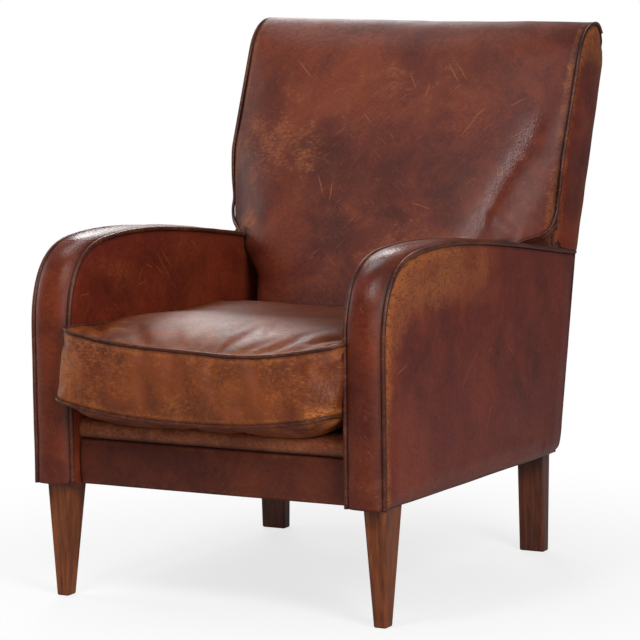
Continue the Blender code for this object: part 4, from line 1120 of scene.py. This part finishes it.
def inflate(piece, seam_away):
    """Fills the cushion's cloth with air between its sewn seams, and keeps each point near its start."""
    group = piece.vertex_groups.new(name="sewn")
    for index, away in enumerate(seam_away):
        if away < 0.004:
            group.add([index], 1.0, "REPLACE")
    start = np.array([tuple(corner.co) for corner in piece.data.vertices])
    cloth = piece.modifiers.new("cloth", "CLOTH")
    settings = cloth.settings
    settings.quality = 6
    settings.mass = 0.35
    settings.tension_stiffness = 25.0
    settings.compression_stiffness = 25.0
    settings.shear_stiffness = 8.0
    settings.bending_stiffness = 1.2
    settings.air_damping = 4.0
    settings.shrink_min = -0.022
    settings.shrink_max = -0.022
    settings.use_pressure = True
    settings.uniform_pressure_force = 2.2
    settings.vertex_group_mass = "sewn"
    settings.effector_weights.gravity = 0.0
    cloth.point_cache.frame_start = 1
    cloth.point_cache.frame_end = CUSHION_FRAMES
    scene = bpy.context.scene
    for number in range(1, CUSHION_FRAMES + 1):
        scene.frame_set(number)
    evaluated = piece.evaluated_get(bpy.context.evaluated_depsgraph_get())
    moved = np.array([tuple(corner.co) for corner in evaluated.data.vertices])
    scene.frame_set(1)
    piece.modifiers.remove(cloth)
    shift = moved - start
    length = np.linalg.norm(shift, axis=1, keepdims=True)
    shift *= CUSHION_SETTLE * np.tanh(length / CUSHION_SETTLE) / np.maximum(length, 1e-9)
    return start + shift


def make_cushion():
    data = cushion_cage()
    piece = link("seat_cushion", data)
    start = np.array([tuple(corner.co) for corner in data.vertices])
    routes = seam_routes()
    rings = [np.vstack((route, route[:1])) for route in routes]
    seam_away = np.minimum(distance_to(start, rings[0]), distance_to(start, rings[1]))
    points = start
    points = inflate(piece, seam_away)
    on_deck = points[:, 1] > RAIL_COVER_Y
    points[:, 2] = np.where(on_deck, np.maximum(points[:, 2], DECK_TOP_Z + 0.0012), points[:, 2])
    side_limit = INNER_FACE - 0.0035
    beside_arm = points[:, 1] > 0.004
    points[:, 0] = np.where(beside_arm, np.clip(points[:, 0], -side_limit, side_limit), points[:, 0])
    data.vertices.foreach_set("co", world(points).reshape(-1))
    seam_away = np.minimum(distance_to(points, rings[0]), distance_to(points, rings[1]))
    on_top = points[:, 2] > 0.455
    front = points[:, 1] < 0.03
    wear = add_spots(0.14, points, ((0.45 * front, (-0.26, -0.02, 0.40), (0.06, 0.06, 0.05)),
                                    (0.75 * front, (0.236, -0.03, 0.352), (0.026, 0.06, 0.016))))
    wear = add_spots(wear + 0.18 * front, points, (
        (0.12 * on_top, (-0.16, 0.10, 0.47), (0.14, 0.13, 0.1)),
        (0.20 * on_top, (0.20, 0.42, 0.46), (0.08, 0.08, 0.1))))
    wear = wear + 0.22 * glow(seam_away - 0.008, 0.005)
    polish = 0.4 * on_top * spot(points, (0.02, 0.05, 0.47), (0.22, 0.05, 0.1))
    creased = front * spot(points, (0.005, -0.04, 0.350), (0.050, 0.06, 0.020))
    creased = creased + 0.7 * front * spot(points, (0.235, -0.03, 0.38), (0.03, 0.06, 0.04))
    set_marks(data, wear=wear, seam=seam_mark(seam_away), polish=polish, creased=creased)
    data.shade_smooth()
    data.materials.append(SEAT_LEATHER)
    smoothing = piece.modifiers.new("smooth", "SUBSURF")
    smoothing.levels = 1
    smoothing.render_levels = 1
    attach(piece, "root")
    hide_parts("cushion_top_panel", "cushion_bottom_panel", "cushion_boxing", "cushion_core")
    for route, word in zip(routes, ("top", "bottom")):
        route = resample(route, PIPING_STEP)
        add_cord("cushion_cord_" + word, route, CUSHION_PIPING_RADIUS, "cushion_piping_" + word, closed=True)


def finish_frame():
    """Gives the frame's own nodes, which stay as they are, their wood and steel."""
    for name, node in frame["nodes"].items():
        if node.hide_render:
            continue
        if "leg" in name:
            finish, slot = (REAR_LEG_WOOD if "rear" in name else LEG_WOOD), "stained_beech"
        elif "spring" in name:
            finish, slot = SPRING_STEEL, "spring_steel"
        else:
            finish, slot = FRAME_WOOD, "raw_beech"
        node.data.materials.clear()
        node.data.materials.append(finish)


# The studio

CAMERA_PLACE = Vector((2.88346, -5.37788, 1.26967))
CAMERA_RIGHT = Vector((0.88161, 0.47177, -0.01371))
CAMERA_UP = Vector((-0.05145, 0.12495, 0.99083))
CAMERA_BACK = Vector((0.46916, -0.87282, 0.13443))
CAMERA_LENS = 198.37
WORLD_STRENGTH = 0.12
REFLECTED_SHARE = 0.08
FLOOR_RADIUS = 2.4
FLOOR_FADE = 1.15
WHITE = (1.0, 1.0, 1.0)


def make_camera():
    data = bpy.data.cameras.new("camera")
    data.sensor_width = 36.0
    data.lens = CAMERA_LENS
    data.clip_start = 0.1
    data.clip_end = 60.0
    camera = link("camera", data)
    turn = Matrix((CAMERA_RIGHT, CAMERA_UP, CAMERA_BACK)).transposed()
    camera.matrix_world = Matrix.Translation(CAMERA_PLACE) @ turn.to_4x4()
    bpy.context.scene.camera = camera


def make_light(name, place, target, size, energy):
    data = bpy.data.lights.new(name, "AREA")
    data.shape = "RECTANGLE"
    data.size, data.size_y = size
    data.energy = energy
    light = link(name, data)
    light.location = place
    light.rotation_mode = "QUATERNION"
    light.rotation_quaternion = (Vector(place) - Vector(target)).to_track_quat("Z", "Y")


def seen_white(nodes, lit, white):
    """Joins two shaders so that the camera and glass see the white one, and reflections a share of it."""
    path = nodes.new("ShaderNodeLightPath").outputs
    direct = nodes.most(path["Is Camera Ray"], path["Is Transmission Ray"])
    reflected = nodes.times(path["Is Glossy Ray"], REFLECTED_SHARE)
    return nodes.blend(nodes.plus(direct, reflected), lit, white)


def make_world():
    studio = bpy.data.worlds.new("studio")
    bpy.context.scene.world = studio
    studio.use_nodes = True
    nodes = Nodes(studio.node_tree)
    lit = nodes.fill(nodes.tree.nodes["Background"], Color=(0.95, 0.97, 1.0), Strength=WORLD_STRENGTH)
    white = nodes.fill(nodes.new("ShaderNodeBackground"), Color=WHITE, Strength=1.0)
    joined = seen_white(nodes, lit.outputs[0], white.outputs[0])
    nodes.fill(nodes.tree.nodes["World Output"], Surface=joined)


def make_floor():
    """A pale round floor that shows the chair's shadow near it and fades to plain white."""
    data = bpy.data.meshes.new("floor")
    cage = bmesh.new()
    bmesh.ops.create_circle(cage, cap_ends=True, segments=96, radius=FLOOR_RADIUS)
    cage.to_mesh(data)
    cage.free()
    floor = link("floor", data)
    paint = Paint("pale_floor")
    paint.finish(Base_Color=(0.90, 0.90, 0.90), Roughness=0.9)
    duller = paint.fill(paint.new("ShaderNodeBsdfDiffuse"), Color=(0.48, 0.48, 0.48))
    glowing = paint.fill(paint.new("ShaderNodeEmission"), Color=WHITE)
    share = paint.range(paint.length(paint.place), 0.25, FLOOR_FADE, 0.72, 1.0)
    pale = paint.blend(share, paint.shader.outputs[0], glowing.outputs[0])
    joined = seen_white(paint, duller.outputs[0], pale)
    paint.fill(paint.tree.nodes["Material Output"], Surface=joined)
    data.materials.append(paint.material)


def make_studio():
    make_world()
    make_floor()
    middle = (0.0, 0.0, 0.5)
    make_light("left_softbox", (-3.0, -0.3, 1.0), middle, (1.2, 1.8), 27.0)
    make_light("right_softbox", (2.7, -1.9, 2.0), middle, (1.2, 1.6), 84.0)
    make_light("rear_softbox", (-1.5, 2.2, 1.85), middle, (1.1, 0.9), 24.0)
    make_light("top_strip", (-1.3, 0.55, 2.9), (0.0, 0.3, 0.9), (1.6, 0.5), 14.0)
    make_light("front_strip", (-0.25, -2.1, 2.85), middle, (0.45, 1.0), 30.0)
    make_light("front_fill", (1.4, -4.2, 1.3), middle, (2.0, 1.4), 38.0)
    bpy.context.scene.view_settings.view_transform = "Standard"


for hand, label in ((1, "left"), (-1, "right")):
    make_arm_band(hand, label)
    make_outer_panel(hand, label)
    make_inner_panel(hand, label)
    make_arm_pipings(hand, label)
make_back_cover()
make_back_sides()
make_back_pipings()
make_back_rear()
make_rail_covers()
make_hidden_cloths()
make_cushion()
finish_frame()
make_camera()
make_studio()
